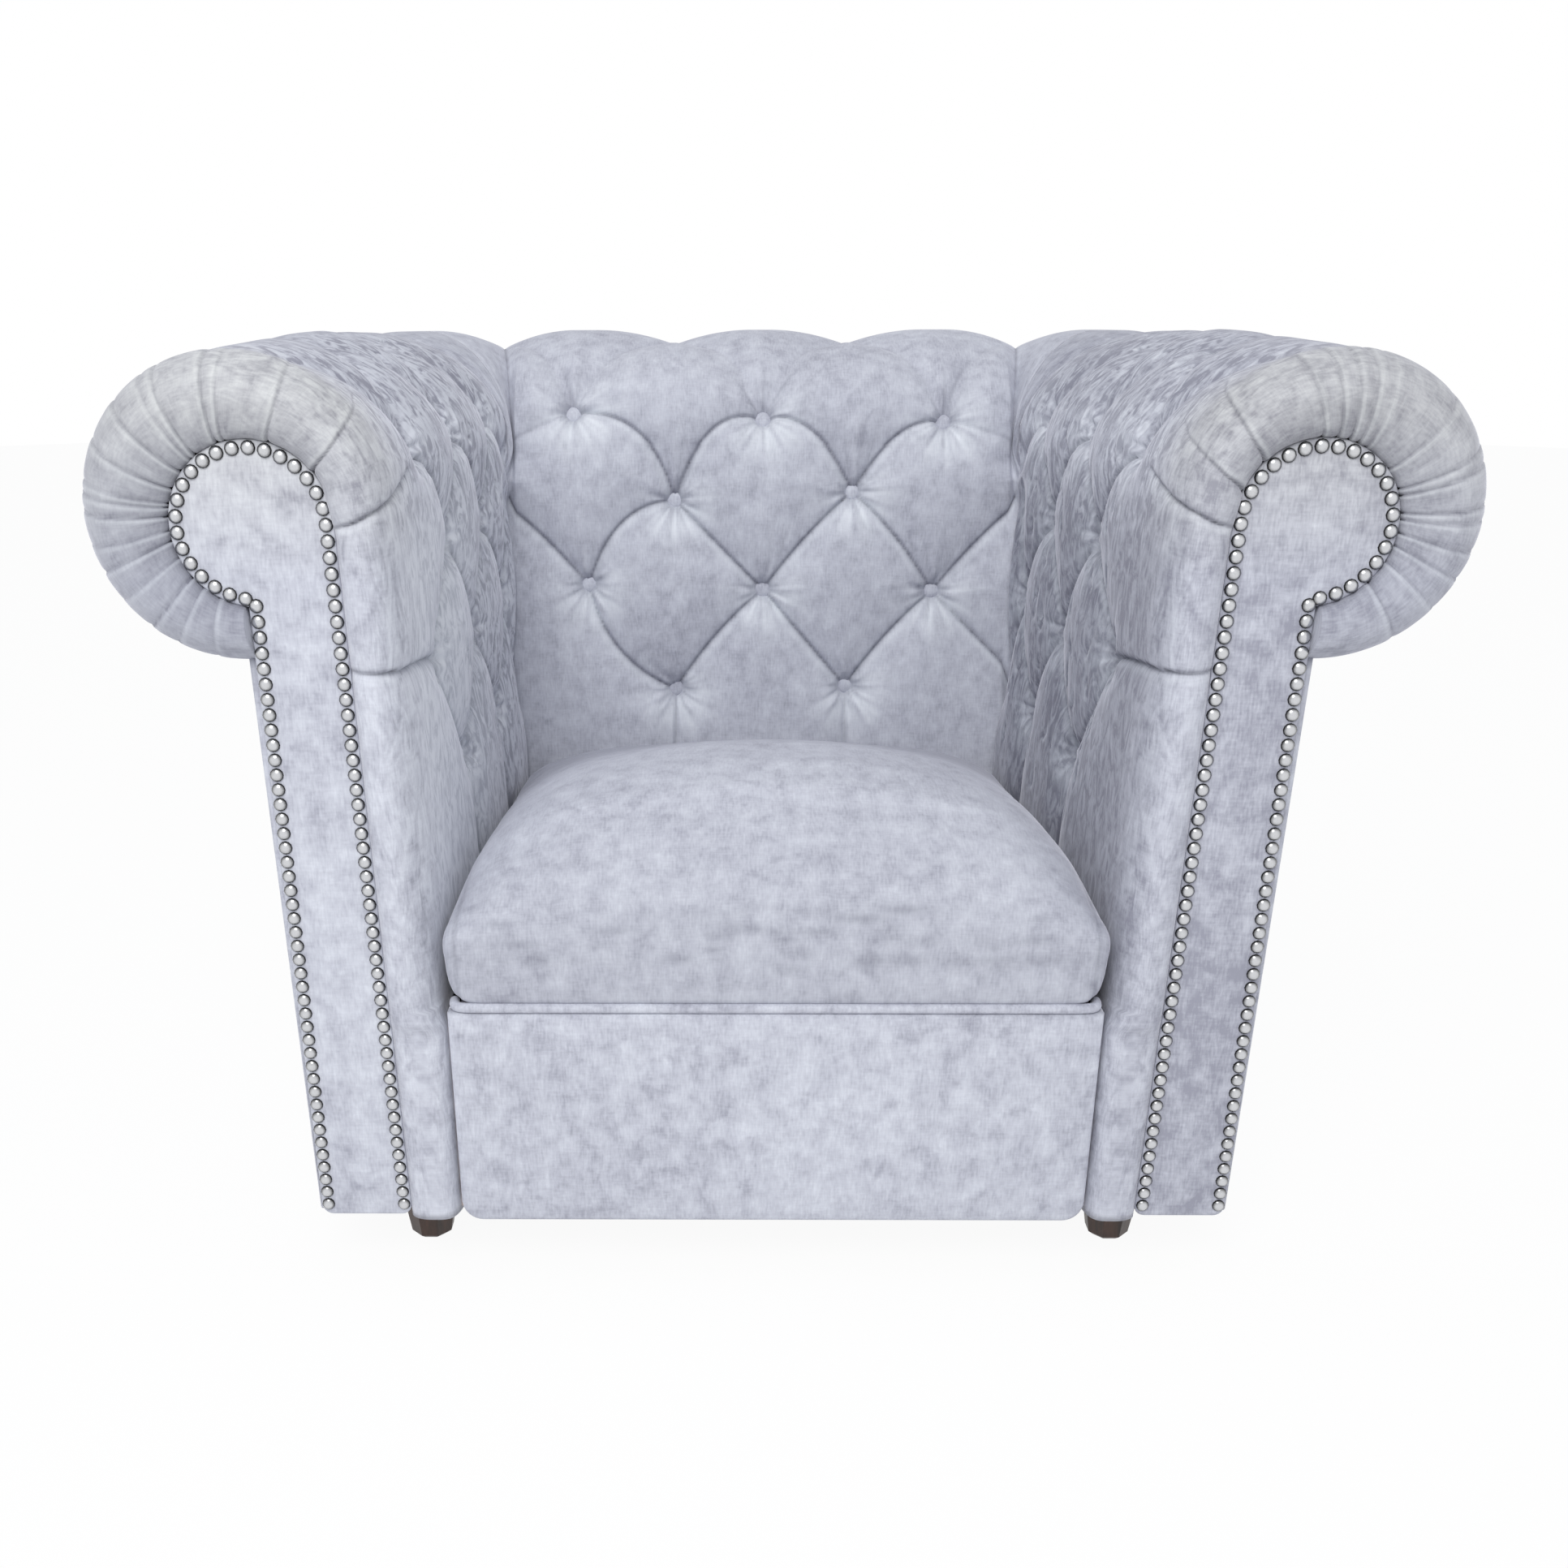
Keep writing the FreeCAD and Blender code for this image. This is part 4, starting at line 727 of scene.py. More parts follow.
# Each tuck of the ring by its angle at the rim, its angle at the outer end, and how strong it is.
ring_pleats = {
    "left": [
        (66, 63, 1.0), (60, 57, 0.6), (88, 83, 1.0), (94, 91, 0.6), (125, 112, 0.8), (156, 137, 1.2),
        (44, 43, 1.0), (24, 29, 1.0), (9, 13, 0.7), (5, 8, 0.9), (-4, 2, 1.0), (-17, -12, 0.6),
        (-26, -24, 1.0), (-41, -36, 0.5), (-57, -48, 1.1), (-66, -60, 0.7), (-77, -77, 0.7),
    ],
    "right": [
        (112, 108, 0.6), (101, 98, 0.8), (92, 90, 0.8), (84, 83, 0.7), (76, 76, 0.5), (45, 46, 0.5),
        (22, 25, 0.9), (15, 19, 0.8), (-2, 4, 0.9), (-8, -3, 0.6), (-20, -15, 0.9), (-31, -27, 0.8),
        (-45, -41, 0.6), (-62, -58, 0.8), (150, 131, 1.2), (168, 150, 1.2),
    ],
}


def arm_lining(flat):
    s = np.interp(flat[:, 0], [-1.0, 1.0], [post_y, arm_edge])
    t = np.interp(flat[:, 1], [-1.0, 1.0], [cover_foot, roll_end])
    return arm_skin(s, t, np.where(t < roll_height, 0.030, 0.05))


def arm_pad(side_name, sign):
    left = sign < 0
    bm = bmesh.new()
    bmesh.ops.create_grid(bm, x_segments=250, y_segments=520, size=1.0)
    grid = np.array([v.co[:2] for v in bm.verts])
    s = np.interp(grid[:, 0], [-1.0, -0.67, 0.73, 1.0], [rim_end, post_y, 0.100, arm_edge])
    t = np.interp(grid[:, 1], [-1.0, -0.9, 1.0], [facing_foot, cover_foot, roll_end])
    cover = Cover(s, t)
    # Folds between the buttons, then those that run to the ring, to the back, over the roll and down.
    for start, bow, end in arm_folds:
        start, end = arm_buttons[start], arm_buttons[end]
        cover.fold(start, end, bow, middle=0.008, ends=(0.016, 0.016), crease=0.8, lap=0.001)
    start, end, bow = arm_buttons["C1"], (rim_end + 0.004, 0.532), (-0.330, 0.530)
    cover.fold(start, end, bow, middle=0.0036, ends=(0.014, 0.0024), wide=0.032, lap=0.0026)
    start, end, bow = (-0.318, 0.672), (rim_end + 0.004, 0.640), (-0.380, 0.652)
    cover.fold(start, end, bow, middle=0.003, ends=(0.001, 0.003), wide=0.020, lap=0.0020)
    for place in ((0.118, 0.594), (0.118, 0.4015)):
        cover.fold(arm_buttons["C3"], place, middle=0.011, ends=(0.020, 0.014))
    cover.fold(arm_buttons["A3"], (0.140, 0.640), middle=0.010, ends=(0.018, 0.016), crease=0.5)
    for name, top in (("A1", -0.1625), ("A2", -0.1625), ("A2", -0.0015), ("A3", -0.0015), ("A1", -0.330)):
        start, last = arm_buttons[name], 0.009 if top > -0.3 else 0.0
        bow = (0.5 * start[0] + 0.5 * top, 0.780)
        cover.fold(start, (top, 0.834), bow, middle=0.009, ends=(0.020, last), wide=0.056, crease=0.18)
    for top in (-0.1625, -0.0015):
        cover.fold((top, 0.834), (top, 0.960), middle=0.004, ends=(0.009, 0.0), wide=0.050, crease=0.05)
    cover.fold((0.180, 0.660), (0.180, 0.990), middle=0.012, ends=(0.018, 0.0), wide=0.050, crease=0.4)
    for name in ("D1", "D2"):
        place = arm_buttons[name]
        cover.fold(place, (place[0], 0.245), middle=0.008, ends=(0.020, 0.004), wide=0.050, crease=0.25)
    for k, place in enumerate(arm_buttons.values()):
        cover.button(place, turn=2.1 * k, bright=0.40)
    # Gathers over each button, then the loose creases of the worn cloth.
    rng = np.random.default_rng(12 if left else 11)
    for place in arm_buttons.values():
        for lean in (-0.026, -0.008, 0.010, 0.028):
            tall = 0.045 + 0.03 * rng.random()
            start, end = (place[0] + 0.3 * lean, place[1] + 0.012), (place[0] + 1.3 * lean, place[1] + tall)
            cover.pleat(start, end, deep=0.0014, wide=0.0045, dark=0.2)
    for k in range(64 if left else 96):
        place = np.array([rng.uniform(-0.23, 0.12), rng.uniform(0.34, 0.83)])
        run = rng.uniform(0.012, 0.038) * np.array([rng.uniform(-0.5, 0.5), 1.0])
        bow = place + run / 2 + rng.uniform(-0.006, 0.006, 2)
        dark, lap = rng.uniform(0.2, 0.65), rng.choice([-0.0012, 0.0012])
        cover.pleat(place, place + run, bow, deep=0.0022, wide=0.0035, dark=dark, fade=(1.0, 0.2), lap=lap)
    # A soft swell on top and a hollow behind the ring, then the tucks of the ring.
    cover.fine -= 0.006 * np.exp(-(((s + 0.08) / 0.16) ** 2)) * part_way(np.abs(t - 0.85), 0.14, 0.0)
    cover.fine += 0.005 * np.exp(-(((s + 0.335) / 0.022) ** 2)) * part_way(np.abs(t - 0.82), 0.10, 0.0)
    for rim, outer, strength in ring_pleats[side_name]:
        start, end = (rim_end, roll_place(rim)), (post_y + 0.02 * strength, roll_place(outer))
        deep, lap, dark = 0.0016 * strength, 0.0014 * strength, 0.55 * min(strength, 1.0)
        cover.pleat(start, end, deep=deep, wide=0.0030, dark=dark, fade=(1.0, 0.30), lap=lap)
    # Painted shade by the rim, on the ring and on top. Inside, the left arm gets a painted highlight and the
    # right arm painted shade, and the left ring gets more painted shade over its top.
    by_rim = part_way(s, rim_end + 0.040, rim_end) * part_way(t, 0.60, 0.70)
    front_ring = part_way(s, -0.345, -0.375) * part_way(t, 0.66, 0.72)
    on_top = part_way(s, -0.34, -0.28) * part_way(t, 0.66, 0.72)
    inside = part_way(s, -0.40, -0.34) * part_way(t, 0.68, 0.60)
    shade = 0.36 * by_rim + 0.14 * front_ring + 0.24 * on_top
    if left:
        shade += 0.22 * front_ring * part_way(t, 0.86, 1.00)
        painted_highlight_inside = 0.58 * inside * np.maximum(part_way(s, 0.02, -0.18), 0.2)
        cover.light = np.maximum(cover.light, painted_highlight_inside)
    else:
        shade += 0.62 * inside
    cover.dark = 1 - (1 - cover.dark) * (1 - np.minimum(shade, 0.75))
    nailed = np.where(t < 0.66, np.maximum(part_way(s, rim_end + 0.004, rim_end + 0.020), 0.10), 1.0)
    shape_cover(bm, arm_skin(s, t, cover.total() * nailed), cover)
    middles = [(f, f.calc_center_median()) for f in bm.faces]
    hidden = [f for f, middle in middles if middle.z < 0.238 and middle.y > -0.372]
    bmesh.ops.delete(bm, geom=hidden, context="FACES")
    close_cover(bm, arm_lining, 40, 40)
    if left:
        bmesh.ops.scale(bm, verts=bm.verts, vec=(-1.0, 1.0, 1.0))
    bmesh.ops.recalc_face_normals(bm, faces=bm.faces)
    # Painted light and shade: the left arm's velvet is painted lighter, the right arm's darker.
    lean, streaks = (0.02, 1.7) if left else (-0.04, 1.2)
    nap = velvet("arm_velvet_" + side_name, True, lean, streaks, 0.06)
    piece = finished("arm_pad_cover_" + side_name, bm, nap, "chair", ["arm_pad_" + side_name])


arm_pad("left", -1)
arm_pad("right", 1)

# Covered buttons: pressed metal moulds covered with the same velvet, tied back through the padding with
# twine.

button_radius = 0.0092
button_velvet = velvet("button_velvet", False)


def button_head(bm, place, outward):
    """One covered button: a low dome with its cloth turned under."""
    made = bmesh.ops.create_uvsphere(bm, u_segments=24, v_segments=12, radius=button_radius)["verts"]
    bmesh.ops.scale(bm, verts=made, vec=(1.0, 1.0, 0.55))
    for vert in made:
        vert.co.z *= 0.5 if vert.co.z < 0 else 1.0
    turn = Vector((0, 0, 1)).rotation_difference(Vector(outward)).to_matrix().to_4x4()
    bmesh.ops.transform(bm, matrix=Matrix.Translation(place) @ turn, verts=made)


def set_buttons(bm, skin, places, sign=1):
    """A button at each place, seated at the bottom of its dimple and square to the cover."""
    for s, t in places:
        at = [np.array([s]), np.array([t])]
        low = skin(*at, np.array([0.0285]))[0]
        high = skin(*at, np.array([0.0150]))[0]
        outward = Vector(high - low).normalized()
        place = Vector(low) + 0.001 * outward
        if sign < 0:
            place.x, outward.x = -place.x, -outward.x
        button_head(bm, place, outward)


bm = bmesh.new()
set_buttons(bm, back_skin, back_buttons.values())
finished("covered_buttons_back", bm, button_velvet, "chair", ["back_buttons"])
for side, sign in (("left", -1), ("right", 1)):
    bm = bmesh.new()
    set_buttons(bm, arm_skin, arm_buttons.values(), sign)
    finished("covered_buttons_" + side, bm, button_velvet, "chair", ["arm_buttons_" + side])

# Facings: flat keyhole panels of ply and wadding, covered with plain velvet and nailed over the gathers.

panel_velvet = velvet("panel_velvet", False, spots=0.07)
panel_foot = facing_foot + 0.0005


def thickened(bm, face, outward, thick):
    """Turn a flat face outwards, give it thickness behind, and return its front."""
    face.normal_update()
    if face.normal.dot(outward) < 0:
        face.normal_flip()
    body = bmesh.ops.extrude_face_region(bm, geom=[face], use_keep_orig=True)
    front = next(g for g in body["geom"] if isinstance(g, bmesh.types.BMFace))
    kept = set(front.verts)
    bmesh.ops.translate(bm, verts=[v for v in bm.verts if v not in kept], vec=-thick * outward)
    bmesh.ops.recalc_face_normals(bm, faces=bm.faces)
    return front


def puffed(bm, face, edge, ways, cell, crown, spread, margin=0.0):
    """Crown a flat panel: small steps round its edge, then cells that swell towards the middle.

    ways are the two axes that lie in the panel, and margin is a strip that stays flat."""
    for width, rise in edge:
        bmesh.ops.inset_region(bm, faces=[face], thickness=width, depth=rise, use_even_offset=True)
    outward = face.normal.copy()
    rim = np.array([v.co for v in face.verts])
    geom = [face, *face.edges, *face.verts]
    for way in ways:
        low, high = rim[:, way].min(), rim[:, way].max()
        count = max(int((high - low) / cell), 2)
        across = Vector([1.0 if axis == way else 0.0 for axis in range(3)])
        for k in range(1, count):
            place = across * (low + (high - low) * k / count)
            cut = bmesh.ops.bisect_plane(bm, geom=geom, dist=1e-5, plane_co=place, plane_no=across)
            geom = cut["geom"]
    inner = [g for g in geom if isinstance(g, bmesh.types.BMVert)]
    places = np.array([v.co for v in inner])
    away = np.full(len(places), 9.0)
    for a, b in zip(rim, np.roll(rim, -1, axis=0)):
        run = b - a
        share = np.clip((places - a) @ run / max(run @ run, 1e-12), 0.0, 1.0)
        away = np.minimum(away, np.linalg.norm(places - a - share[:, None] * run, axis=1))
    for vert, distance in zip(inner, away):
        vert.co += outward * float(crown * (1 - math.exp(-max(distance - margin, 0.0) / spread)))


def mirrored(bm):
    bmesh.ops.scale(bm, verts=bm.verts, vec=(-1.0, 1.0, 1.0))
    bmesh.ops.reverse_faces(bm, faces=bm.faces)


def facing(side_name, sign):
    """A disc from its tangent at the inner edge round to the neck, with the foot below."""
    bm = bmesh.new()
    flat_y = face_y + 0.0017
    foot_x, foot_z = facing_inner - disc_x, facing_foot - disc_z
    touch = math.atan2(foot_z, foot_x) - math.acos(disc_radius / math.hypot(foot_x, foot_z))
    neck = -math.acos(0.008 / disc_radius)
    touch_x, touch_z = disc_x + disc_radius * math.cos(touch), disc_z + disc_radius * math.sin(touch)
    start = bm.verts.new((touch_x, flat_y, touch_z))
    sweep = (touch - neck) % (2 * math.pi)
    centre = (disc_x, flat_y, disc_z)
    bmesh.ops.spin(bm, geom=[start], cent=centre, axis=(0, 1, 0), angle=sweep, steps=56)
    bm.verts.ensure_lookup_table()
    last = max((v for v in bm.verts if len(v.link_edges) == 1 and v is not start), key=lambda v: v.index)
    foot_in = bm.verts.new((facing_inner, flat_y, panel_foot))
    foot_out = bm.verts.new((facing_outer, flat_y, panel_foot))
    for pair in ((start, foot_in), (foot_in, foot_out), (foot_out, last)):
        bm.edges.new(pair)
    feet = [foot_in, foot_out]
    bmesh.ops.bevel(bm, geom=feet, offset=0.009, segments=5, profile=0.5, affect="VERTICES", material=-1)
    face = bmesh.ops.contextual_create(bm, geom=list(bm.edges))["faces"][0]
    front = thickened(bm, face, Vector((0.0, -1.0, 0.0)), 0.0081)
    edge = ((0.0006, 0.0010), (0.0010, 0.0005), (0.0016, 0.0002))
    puffed(bm, front, edge, (0, 2), 0.006, 0.0026, 0.012, 0.009)
    if sign < 0:
        mirrored(bm)
    # Painted light and shade: the left facing is painted lighter, the right facing darker.
    nap = velvet("facing_velvet_" + side_name, False, 0.02 if sign < 0 else -0.10, spots=0.06)
    finished("facing_panel_" + side_name, bm, nap, "chair", ["arm_facing_" + side_name])


facing("left", -1)
facing("right", 1)

# Nails: domed silver heads, pressed from sheet steel, driven close together round each facing.
# Each stands where the frame has its nail; the rims are painted dark, as tarnish and as painted shade and
# reflection round the dome's edge.


def nail_material():
    material, nodes, links, shader = new_material("nail_metal")
    rim = nodes.new("ShaderNodeAttribute")
    rim.attribute_name = "rim"
    grime = nodes.new("ShaderNodeTexNoise")
    grime.inputs["Scale"].default_value = 300.0
    links.new(nodes.new("ShaderNodeTexCoord").outputs["Object"], grime.inputs["Vector"])
    amount = nodes.new("ShaderNodeMath")
    amount.operation = "MULTIPLY_ADD"
    links.new(grime.outputs["Fac"], amount.inputs[0])
    amount.inputs[1].default_value = 0.25
    links.new(rim.outputs["Fac"], amount.inputs[2])
    # The rim attribute paints the edge of each dome dark: tarnish, with painted shade and reflection round
    # the edge.
    silver, tarnish_and_shade = linear(206, 207, 210), linear(38, 37, 36)
    tone = toned(nodes, links, amount.outputs[0], 0.15, silver, 0.95, tarnish_and_shade)
    links.new(tone, shader.inputs["Base Color"])
    shader.inputs["Metallic"].default_value = 0.8
    shader.inputs["Roughness"].default_value = 0.24
    return material


nail_metal = nail_material()
nail_radius = 0.0054
# Each step of a dome from the rim inwards: its size, how far it rises, and how dark it is painted, tarnish
# with painted shade.
dome_steps = ((0.985, 0.0009, 0.95), (0.87, 0.0009, 0.60), (0.68, 0.0009, 0.12), (0.45, 0.0006, 0.0))
for side in ("left", "right"):
    loose = bmesh.new()
    loose.from_mesh(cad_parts["arm_nails_" + side].data)
    bmesh.ops.remove_doubles(loose, verts=loose.verts, dist=0.00005)
    waiting, centres = set(loose.verts), []
    while waiting:
        island, front = set(), {waiting.pop()}
        while front:
            vert = front.pop()
            island.add(vert)
            front |= {e.other_vert(vert) for e in vert.link_edges} - island
        waiting -= island
        xs, zs = [v.co.x for v in island], [v.co.z for v in island]
        centres.append(((min(xs) + max(xs)) / 2, (min(zs) + max(zs)) / 2))
    loose.free()
    bm = bmesh.new()
    rim = bm.verts.layers.float.new("rim")
    for x, z in centres:
        rings = bmesh.ops.create_circle(bm, segments=12, radius=nail_radius)["verts"]
        bmesh.ops.rotate(bm, verts=rings, cent=(0, 0, 0), matrix=Matrix.Rotation(math.pi / 2, 3, "X"))
        bmesh.ops.translate(bm, verts=rings, vec=(x, face_y - 0.0001, z))
        for vert in rings:
            vert[rim] = 1.0
        edges = list({e for v in rings for e in v.link_edges})
        for size, lift, dark in dome_steps:
            step = bmesh.ops.extrude_edge_only(bm, edges=edges)["geom"]
            ring = [g for g in step if isinstance(g, bmesh.types.BMVert)]
            edges = [g for g in step if isinstance(g, bmesh.types.BMEdge)]
            bmesh.ops.scale(bm, verts=ring, vec=(size, 1.0, size), space=Matrix.Translation((-x, 0.0, -z)))
            bmesh.ops.translate(bm, verts=ring, vec=(0.0, -lift, 0.0))
            for vert in ring:
                vert[rim] = dark
        foot = {e for v in rings for e in v.link_edges if e.is_boundary}
        bmesh.ops.edgeloop_fill(bm, edges=[e for e in edges if e.is_boundary])
        bmesh.ops.edgeloop_fill(bm, edges=list(foot))
    bmesh.ops.recalc_face_normals(bm, faces=bm.faces)
    finished("silver_nails_" + side, bm, nail_metal, "chair", ["arm_nails_" + side])

# Front border: a plain panel below the cushion, wadded and covered, its lower corners rounded.

bm = bmesh.new()
corners = [(-0.268, 0.2470), (0.268, 0.2470), (0.265, 0.0525), (-0.265, 0.0525)]
verts = [bm.verts.new((x, -0.3965, z)) for x, z in corners]
bm.faces.new(verts)
bmesh.ops.bevel(bm, geom=verts[2:], offset=0.018, segments=8, profile=0.5, affect="VERTICES", material=-1)
front = thickened(bm, bm.faces[:][0], Vector((0.0, -1.0, 0.0)), 0.012)
puffed(bm, front, ((0.0008, 0.0018), (0.0014, 0.0012), (0.0022, 0.0008)), (0, 2), 0.008, 0.0030, 0.020)
border_velvet = velvet("border_velvet", False, 0.005, spots=0.07)
finished("border_panel", bm, border_velvet, "chair", ["front_border"])

# Piping: round cord in a bias strip of the same velvet, sewn into the top seam of the border.


def cord_tube(name, points, radius):
    """Bent round cord through a few points, as a mesh."""
    curve = bpy.data.curves.new(name, "CURVE")
    curve.dimensions = "3D"
    curve.bevel_depth = radius
    curve.bevel_resolution = 5
    curve.use_fill_caps = True
    spline = curve.splines.new("NURBS")
    spline.points.add(len(points) - 1)
    for knot, place in zip(spline.points, points):
        knot.co = (*place, 1.0)
    spline.order_u = 4
    spline.use_endpoint_u = True
    spline.resolution_u = 10
    holder = bpy.data.objects.new(name, curve)
    mesh = bpy.data.meshes.new_from_object(holder)
    bm = bmesh.new()
    bm.from_mesh(mesh)
    bpy.data.objects.remove(holder)
    return bm


piping_y, piping_z = -0.3969, 0.2512
places = [(-0.2634, -0.382), (-0.2634, -0.390), (-0.2610, piping_y)]
places += [(x, piping_y) for x in (-0.24, -0.16, -0.08, 0.0, 0.08, 0.16, 0.24)]
places += [(0.2610, piping_y), (0.2634, -0.390), (0.2634, -0.382)]
points = [(x, y, piping_z) for x, y in places]
bm = cord_tube("piping_cord", points, 0.0042)
finished("piping_cord", bm, panel_velvet, "chair", ["front_border_piping"])

# Seat deck: a thin felt pad over the springs, covered with plain lining cloth.

lining = mottled_material("deck_lining", linear(150, 148, 158), linear(176, 174, 184), 240.0, 0.9, 0.0004)
low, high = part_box("seat_deck")
bm = bmesh.new()
bmesh.ops.create_cube(bm, size=1.0)
bmesh.ops.scale(bm, verts=bm.verts, vec=(0.52, high.y - low.y - 0.002, 0.018))
bmesh.ops.translate(bm, verts=bm.verts, vec=(0.0, (low.y + high.y) / 2, 0.2475))
for vert in bm.verts:
    if vert.co.y > 0:
        vert.co.x *= 0.915
bmesh.ops.bevel(bm, geom=bm.edges, offset=0.007, segments=4, profile=0.5, affect="EDGES", material=-1)
deck = finished("deck_pad", bm, lining, "chair", ["seat_deck"])

# Outside panels: velvet over board, blind-stitched under the roll and turned round the rear corners.

panel_x, panel_lean, panel_height = 0.3882, 0.0144, 0.4865
for side, sign in (("left", -1), ("right", 1)):
    bm = bmesh.new()
    corners = ((0.0, -0.3878), (0.0, 0.2515), (1.0, 0.2515), (1.0, -0.3878))
    places = [(panel_x + panel_lean * up, y, panel_foot + panel_height * up) for up, y in corners]
    face = bm.faces.new([bm.verts.new(place) for place in places])
    outer = thickened(bm, face, Vector((1.0, 0.0, 0.0)), 0.0048)
    puffed(bm, outer, ((0.0010, 0.0012), (0.0020, 0.0006)), (1, 2), 0.012, 0.0025, 0.03)
    if sign < 0:
        mirrored(bm)
    finished("outside_panel_" + side, bm, panel_velvet, "chair", ["outside_arm_" + side])

bm = bmesh.new()
radius = 0.034
first = bm.verts.new((panel_x, 0.2522, panel_foot))
centre = (panel_x - radius, 0.2432, panel_foot)
bmesh.ops.spin(bm, geom=[first], cent=centre, axis=(0, 0, 1), angle=math.pi / 2, steps=8)
bm.verts.ensure_lookup_table()
bmesh.ops.mirror(bm, geom=bm.verts[:] + bm.edges[:], axis="X", merge_dist=0.0)
ends = [v for v in bm.verts if len(v.link_edges) == 1 and v.co.y > 0.27]
bm.edges.new(ends)
ring = bmesh.ops.extrude_edge_only(bm, edges=bm.edges[:])
top = [g for g in ring["geom"] if isinstance(g, bmesh.types.BMVert)]
bmesh.ops.translate(bm, verts=top, vec=(0.0, 0.0, panel_height))
for vert in top:
    vert.co.x += math.copysign(panel_lean, vert.co.x)
    vert.co.y += panel_lean if vert.co.y > 0.2525 else 0.0
bmesh.ops.recalc_face_normals(bm, faces=bm.faces)
outside_back = finished("outside_back_panel", bm, panel_velvet, "chair", ["outside_back"])
thick = outside_back.modifiers.new("board", "SOLIDIFY")
thick.thickness = 0.0046
thick.offset = -1.0
edge = outside_back.modifiers.new("turned_edge", "BEVEL")
edge.width = 0.0015
edge.segments = 3

# Loose seat cushion: a foam block in a boxed velvet cover, softly blown up by its filling.



def baked(piece):
    """Put the mesh that a piece's modifiers make in its place."""
    made = bpy.data.meshes.new_from_object(piece.evaluated_get(bpy.context.evaluated_depsgraph_get()))
    piece.modifiers.clear()
    piece.data = made
    return made


cushion_velvet = velvet("cushion_velvet", True, 0.0, spots=0.03)
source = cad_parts["seat_cushion_core"]
bm = bmesh.new()
bm.from_mesh(source.data)
bmesh.ops.remove_doubles(bm, verts=bm.verts, dist=0.0002)
bmesh.ops.recalc_face_normals(bm, faces=bm.faces)
for vert in bm.verts:
    vert.co += 0.0024 * vert.normal
cushion = finished("seat_cushion_case", bm, cushion_velvet, "seat_cushion", ["seat_cushion_cover"])
remesh = cushion.modifiers.new("even", "REMESH")
remesh.mode = "VOXEL"
remesh.voxel_size = 0.006
bpy.context.view_layer.update()
even = baked(cushion)
rest = np.array([v.co for v in even.vertices])
outward = np.array([v.normal for v in even.vertices])
blow = cushion.modifiers.new("blow", "CLOTH")
blow.settings.quality = 6
blow.settings.mass = 0.4
blow.settings.tension_stiffness = 40.0
blow.settings.compression_stiffness = 40.0
blow.settings.bending_stiffness = 8.0
blow.settings.use_pressure = True
blow.settings.uniform_pressure_force = 4.0
blow.settings.effector_weights.gravity = 0.0
blow.point_cache.frame_start = 1
blow.point_cache.frame_end = 20
for step in range(1, 21):
    bpy.context.scene.frame_set(step)
blown = baked(cushion)
swell = np.sum((np.array([v.co for v in blown.vertices]) - rest) * outward, axis=1)
moved = outward * np.clip(swell, 0.0, 0.004)[:, None] * (1.0, 1.0, 0.4)
blown.vertices.foreach_set("co", (rest + moved).astype(np.float32).ravel())
bpy.context.scene.frame_set(1)
low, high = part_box("seat_cushion_cover")
bm = bmesh.new()
bm.from_mesh(cushion.data)
bmesh.ops.smooth_vert(bm, verts=bm.verts, factor=0.5, use_axis_x=True, use_axis_y=True, use_axis_z=True)
bm.to_mesh(cushion.data)
bm.free()
finer = cushion.modifiers.new("finer", "SUBSURF")
finer.levels = 1
finer.render_levels = 1
bpy.context.view_layer.update()
sewn = baked(cushion)
place = np.array([v.co for v in sewn.vertices])
normal = np.array([v.normal for v in sewn.vertices])
x, y, z = place.T
foot_z = low.z + 0.0003
x, y, z = x.copy(), np.minimum(y, high.y), np.maximum(z, foot_z)
# The lower front edge rounds off and droops over the piping, and the front corners stand a little wider.
rise = part_way(z, low.z, low.z + 0.034)
front = part_way(y, -0.366, -0.396)
x = x + np.sign(x) * 0.0062 * front * part_way(np.abs(x), 0.19, 0.26)
droop = 0.0080 * part_way(y, -0.380, -0.392) * (1 - rise)
y = y - 0.0045 * front * (1 - rise)
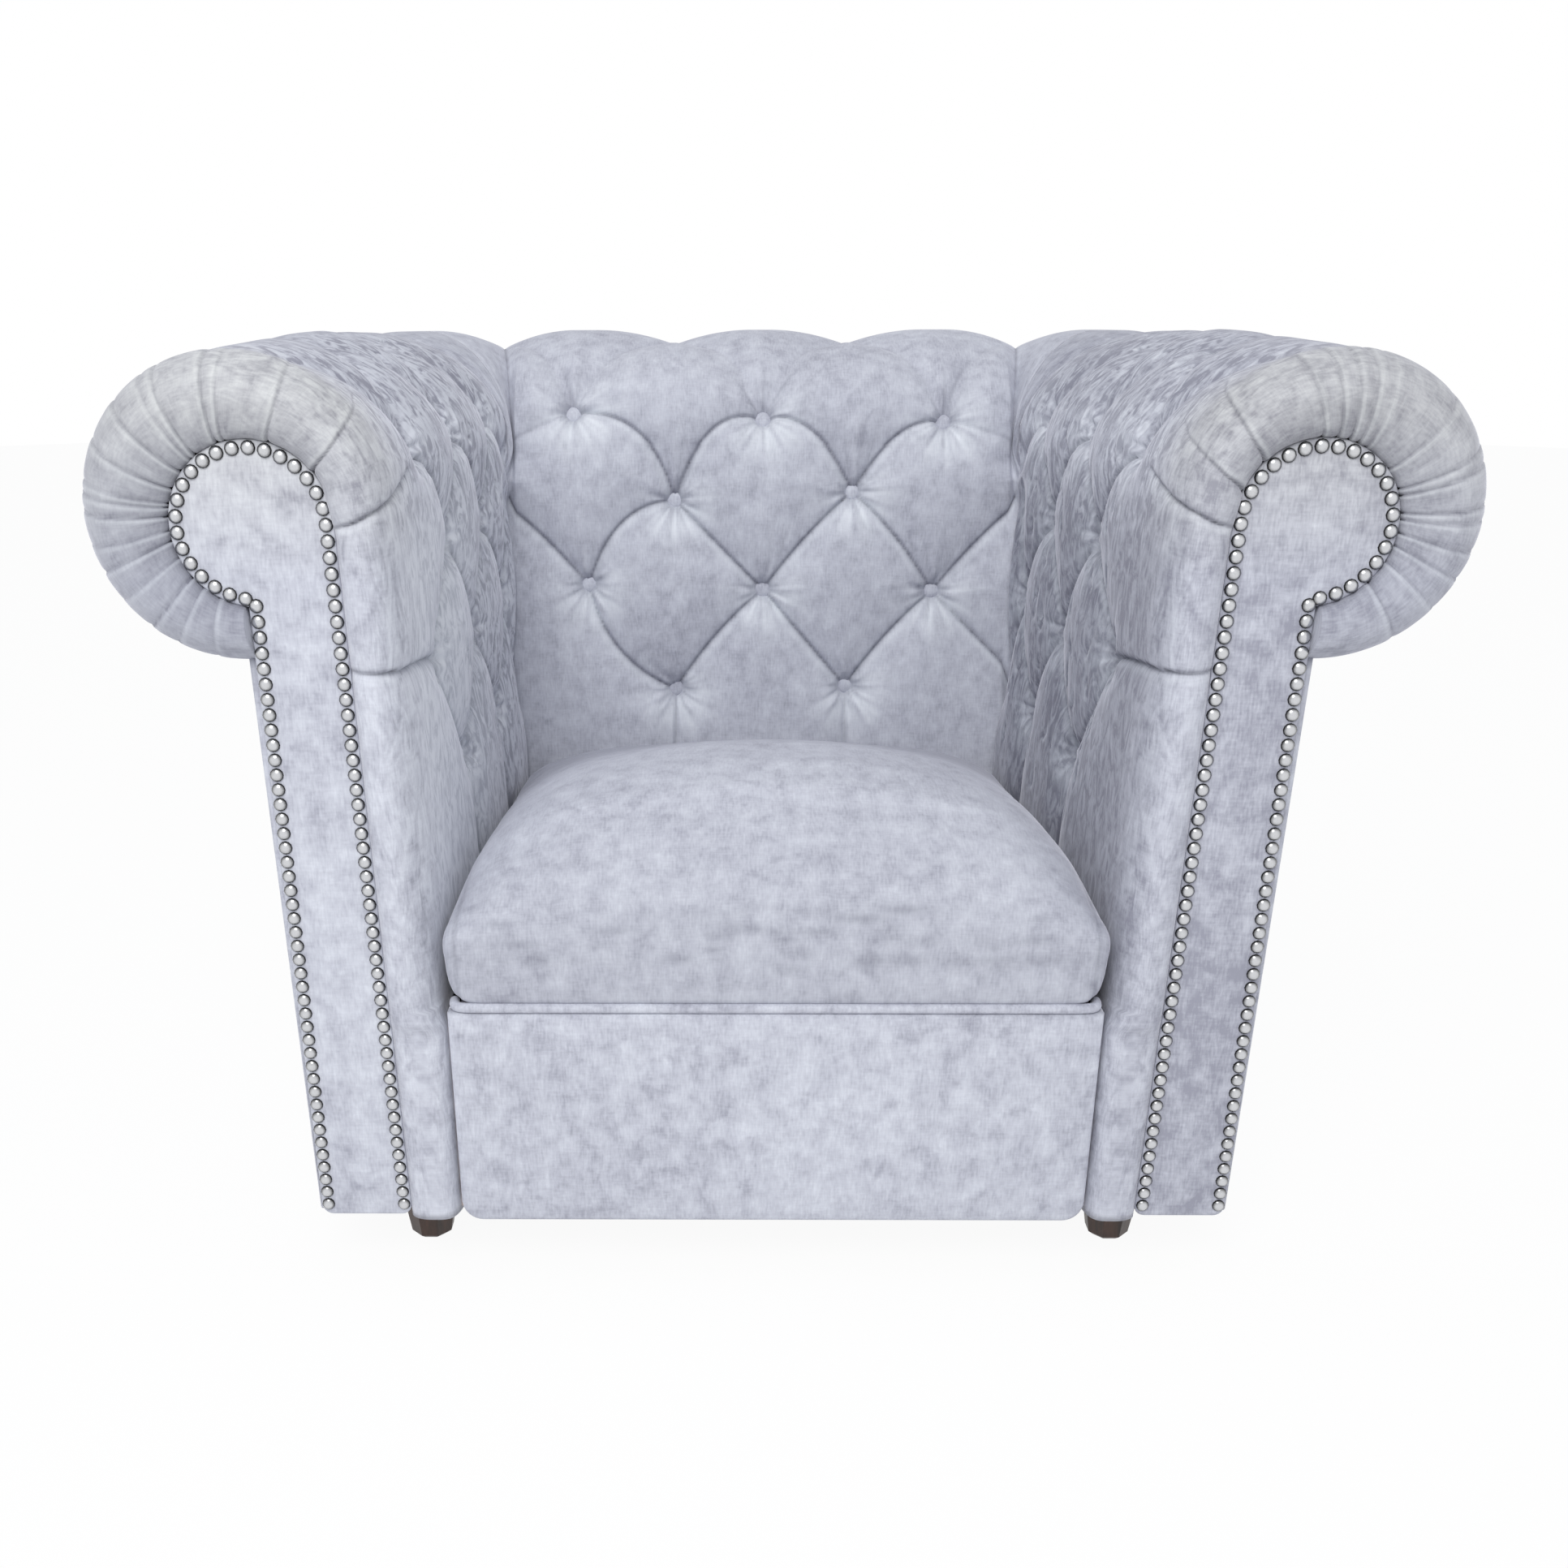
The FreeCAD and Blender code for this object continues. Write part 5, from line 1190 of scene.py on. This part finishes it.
# The boxing's seam runs up both sides of the front and turns in at the top.
seam_side = np.abs(np.abs(x) - (0.2585 - 0.9 * np.clip(z - 0.325, 0.0, 1.0) ** 1.35))
seam_side = np.where((z > 0.262) & (z < 0.375), seam_side, 1.0)
sewn_in = np.exp(-((seam_side / 0.0022) ** 2)) * part_way(y, -0.30, -0.34)
z = np.where(rise < 1.0, foot_z + 0.0337 * rise**3.2 - droop, z)
place = np.stack([x, y, z], axis=-1) - 0.0007 * sewn_in[:, None] * normal
sewn.vertices.foreach_set("co", place.astype(np.float32).ravel())
# Its nap has a few small blots along the front edge; the seam and the back get painted shade, and the front
# is darker too.
dark, light = 0.35 * sewn_in, np.zeros(len(x))
up = z + 0.9 * y
rng = np.random.default_rng(5)
for k in range(34):
    at = (rng.uniform(-0.23, 0.24), rng.normal(0.312, 0.014) - 0.362)
    size = rng.uniform(0.006, 0.020), rng.uniform(0.003, 0.006)
    blot = np.exp(-(((x - at[0]) / size[0]) ** 2) - ((up - at[1]) / size[1]) ** 2)
    dark = np.maximum(dark, rng.uniform(0.15, 0.42) * blot)
# Painted shade towards the back; darker at the front.
back_part, front_part = part_way(y, -0.17, -0.05), part_way(y, -0.33, -0.38)
dark = 1 - (1 - dark) * (1 - 0.46 * back_part) * (1 - 0.17 * front_part)
cloth = sewn.attributes.new("cloth", "FLOAT_COLOR", "POINT")
cloth.data.foreach_set("color", np.stack([x, up, dark, light], axis=-1).astype(np.float32).ravel())
sewn.shade_smooth()
sewn.materials.clear()
sewn.materials.append(cushion_velvet)
foam = mottled_material("cushion_foam", linear(206, 200, 178), linear(226, 221, 202), 300.0, 0.95, 0.0006)
dress(["seat_cushion_core"], foam)

# Base cloth: black lining stapled under the seat rails, cut round the feet.

black_cloth = woven_material("black_cloth", linear(20, 20, 22), linear(44, 44, 48), 0.0012, 0.95)
dress(["base_cloth"], black_cloth)

# Feet: turned down from square beech to eight sides, tapered and stained dark, screwed up into the blocks.

stained = grain_material("stained_wood", linear(34, 22, 17), linear(74, 50, 40), 2, 0.42)
for place in ("front_left", "front_right", "rear_left", "rear_right"):
    dress(["foot_" + place], stained)
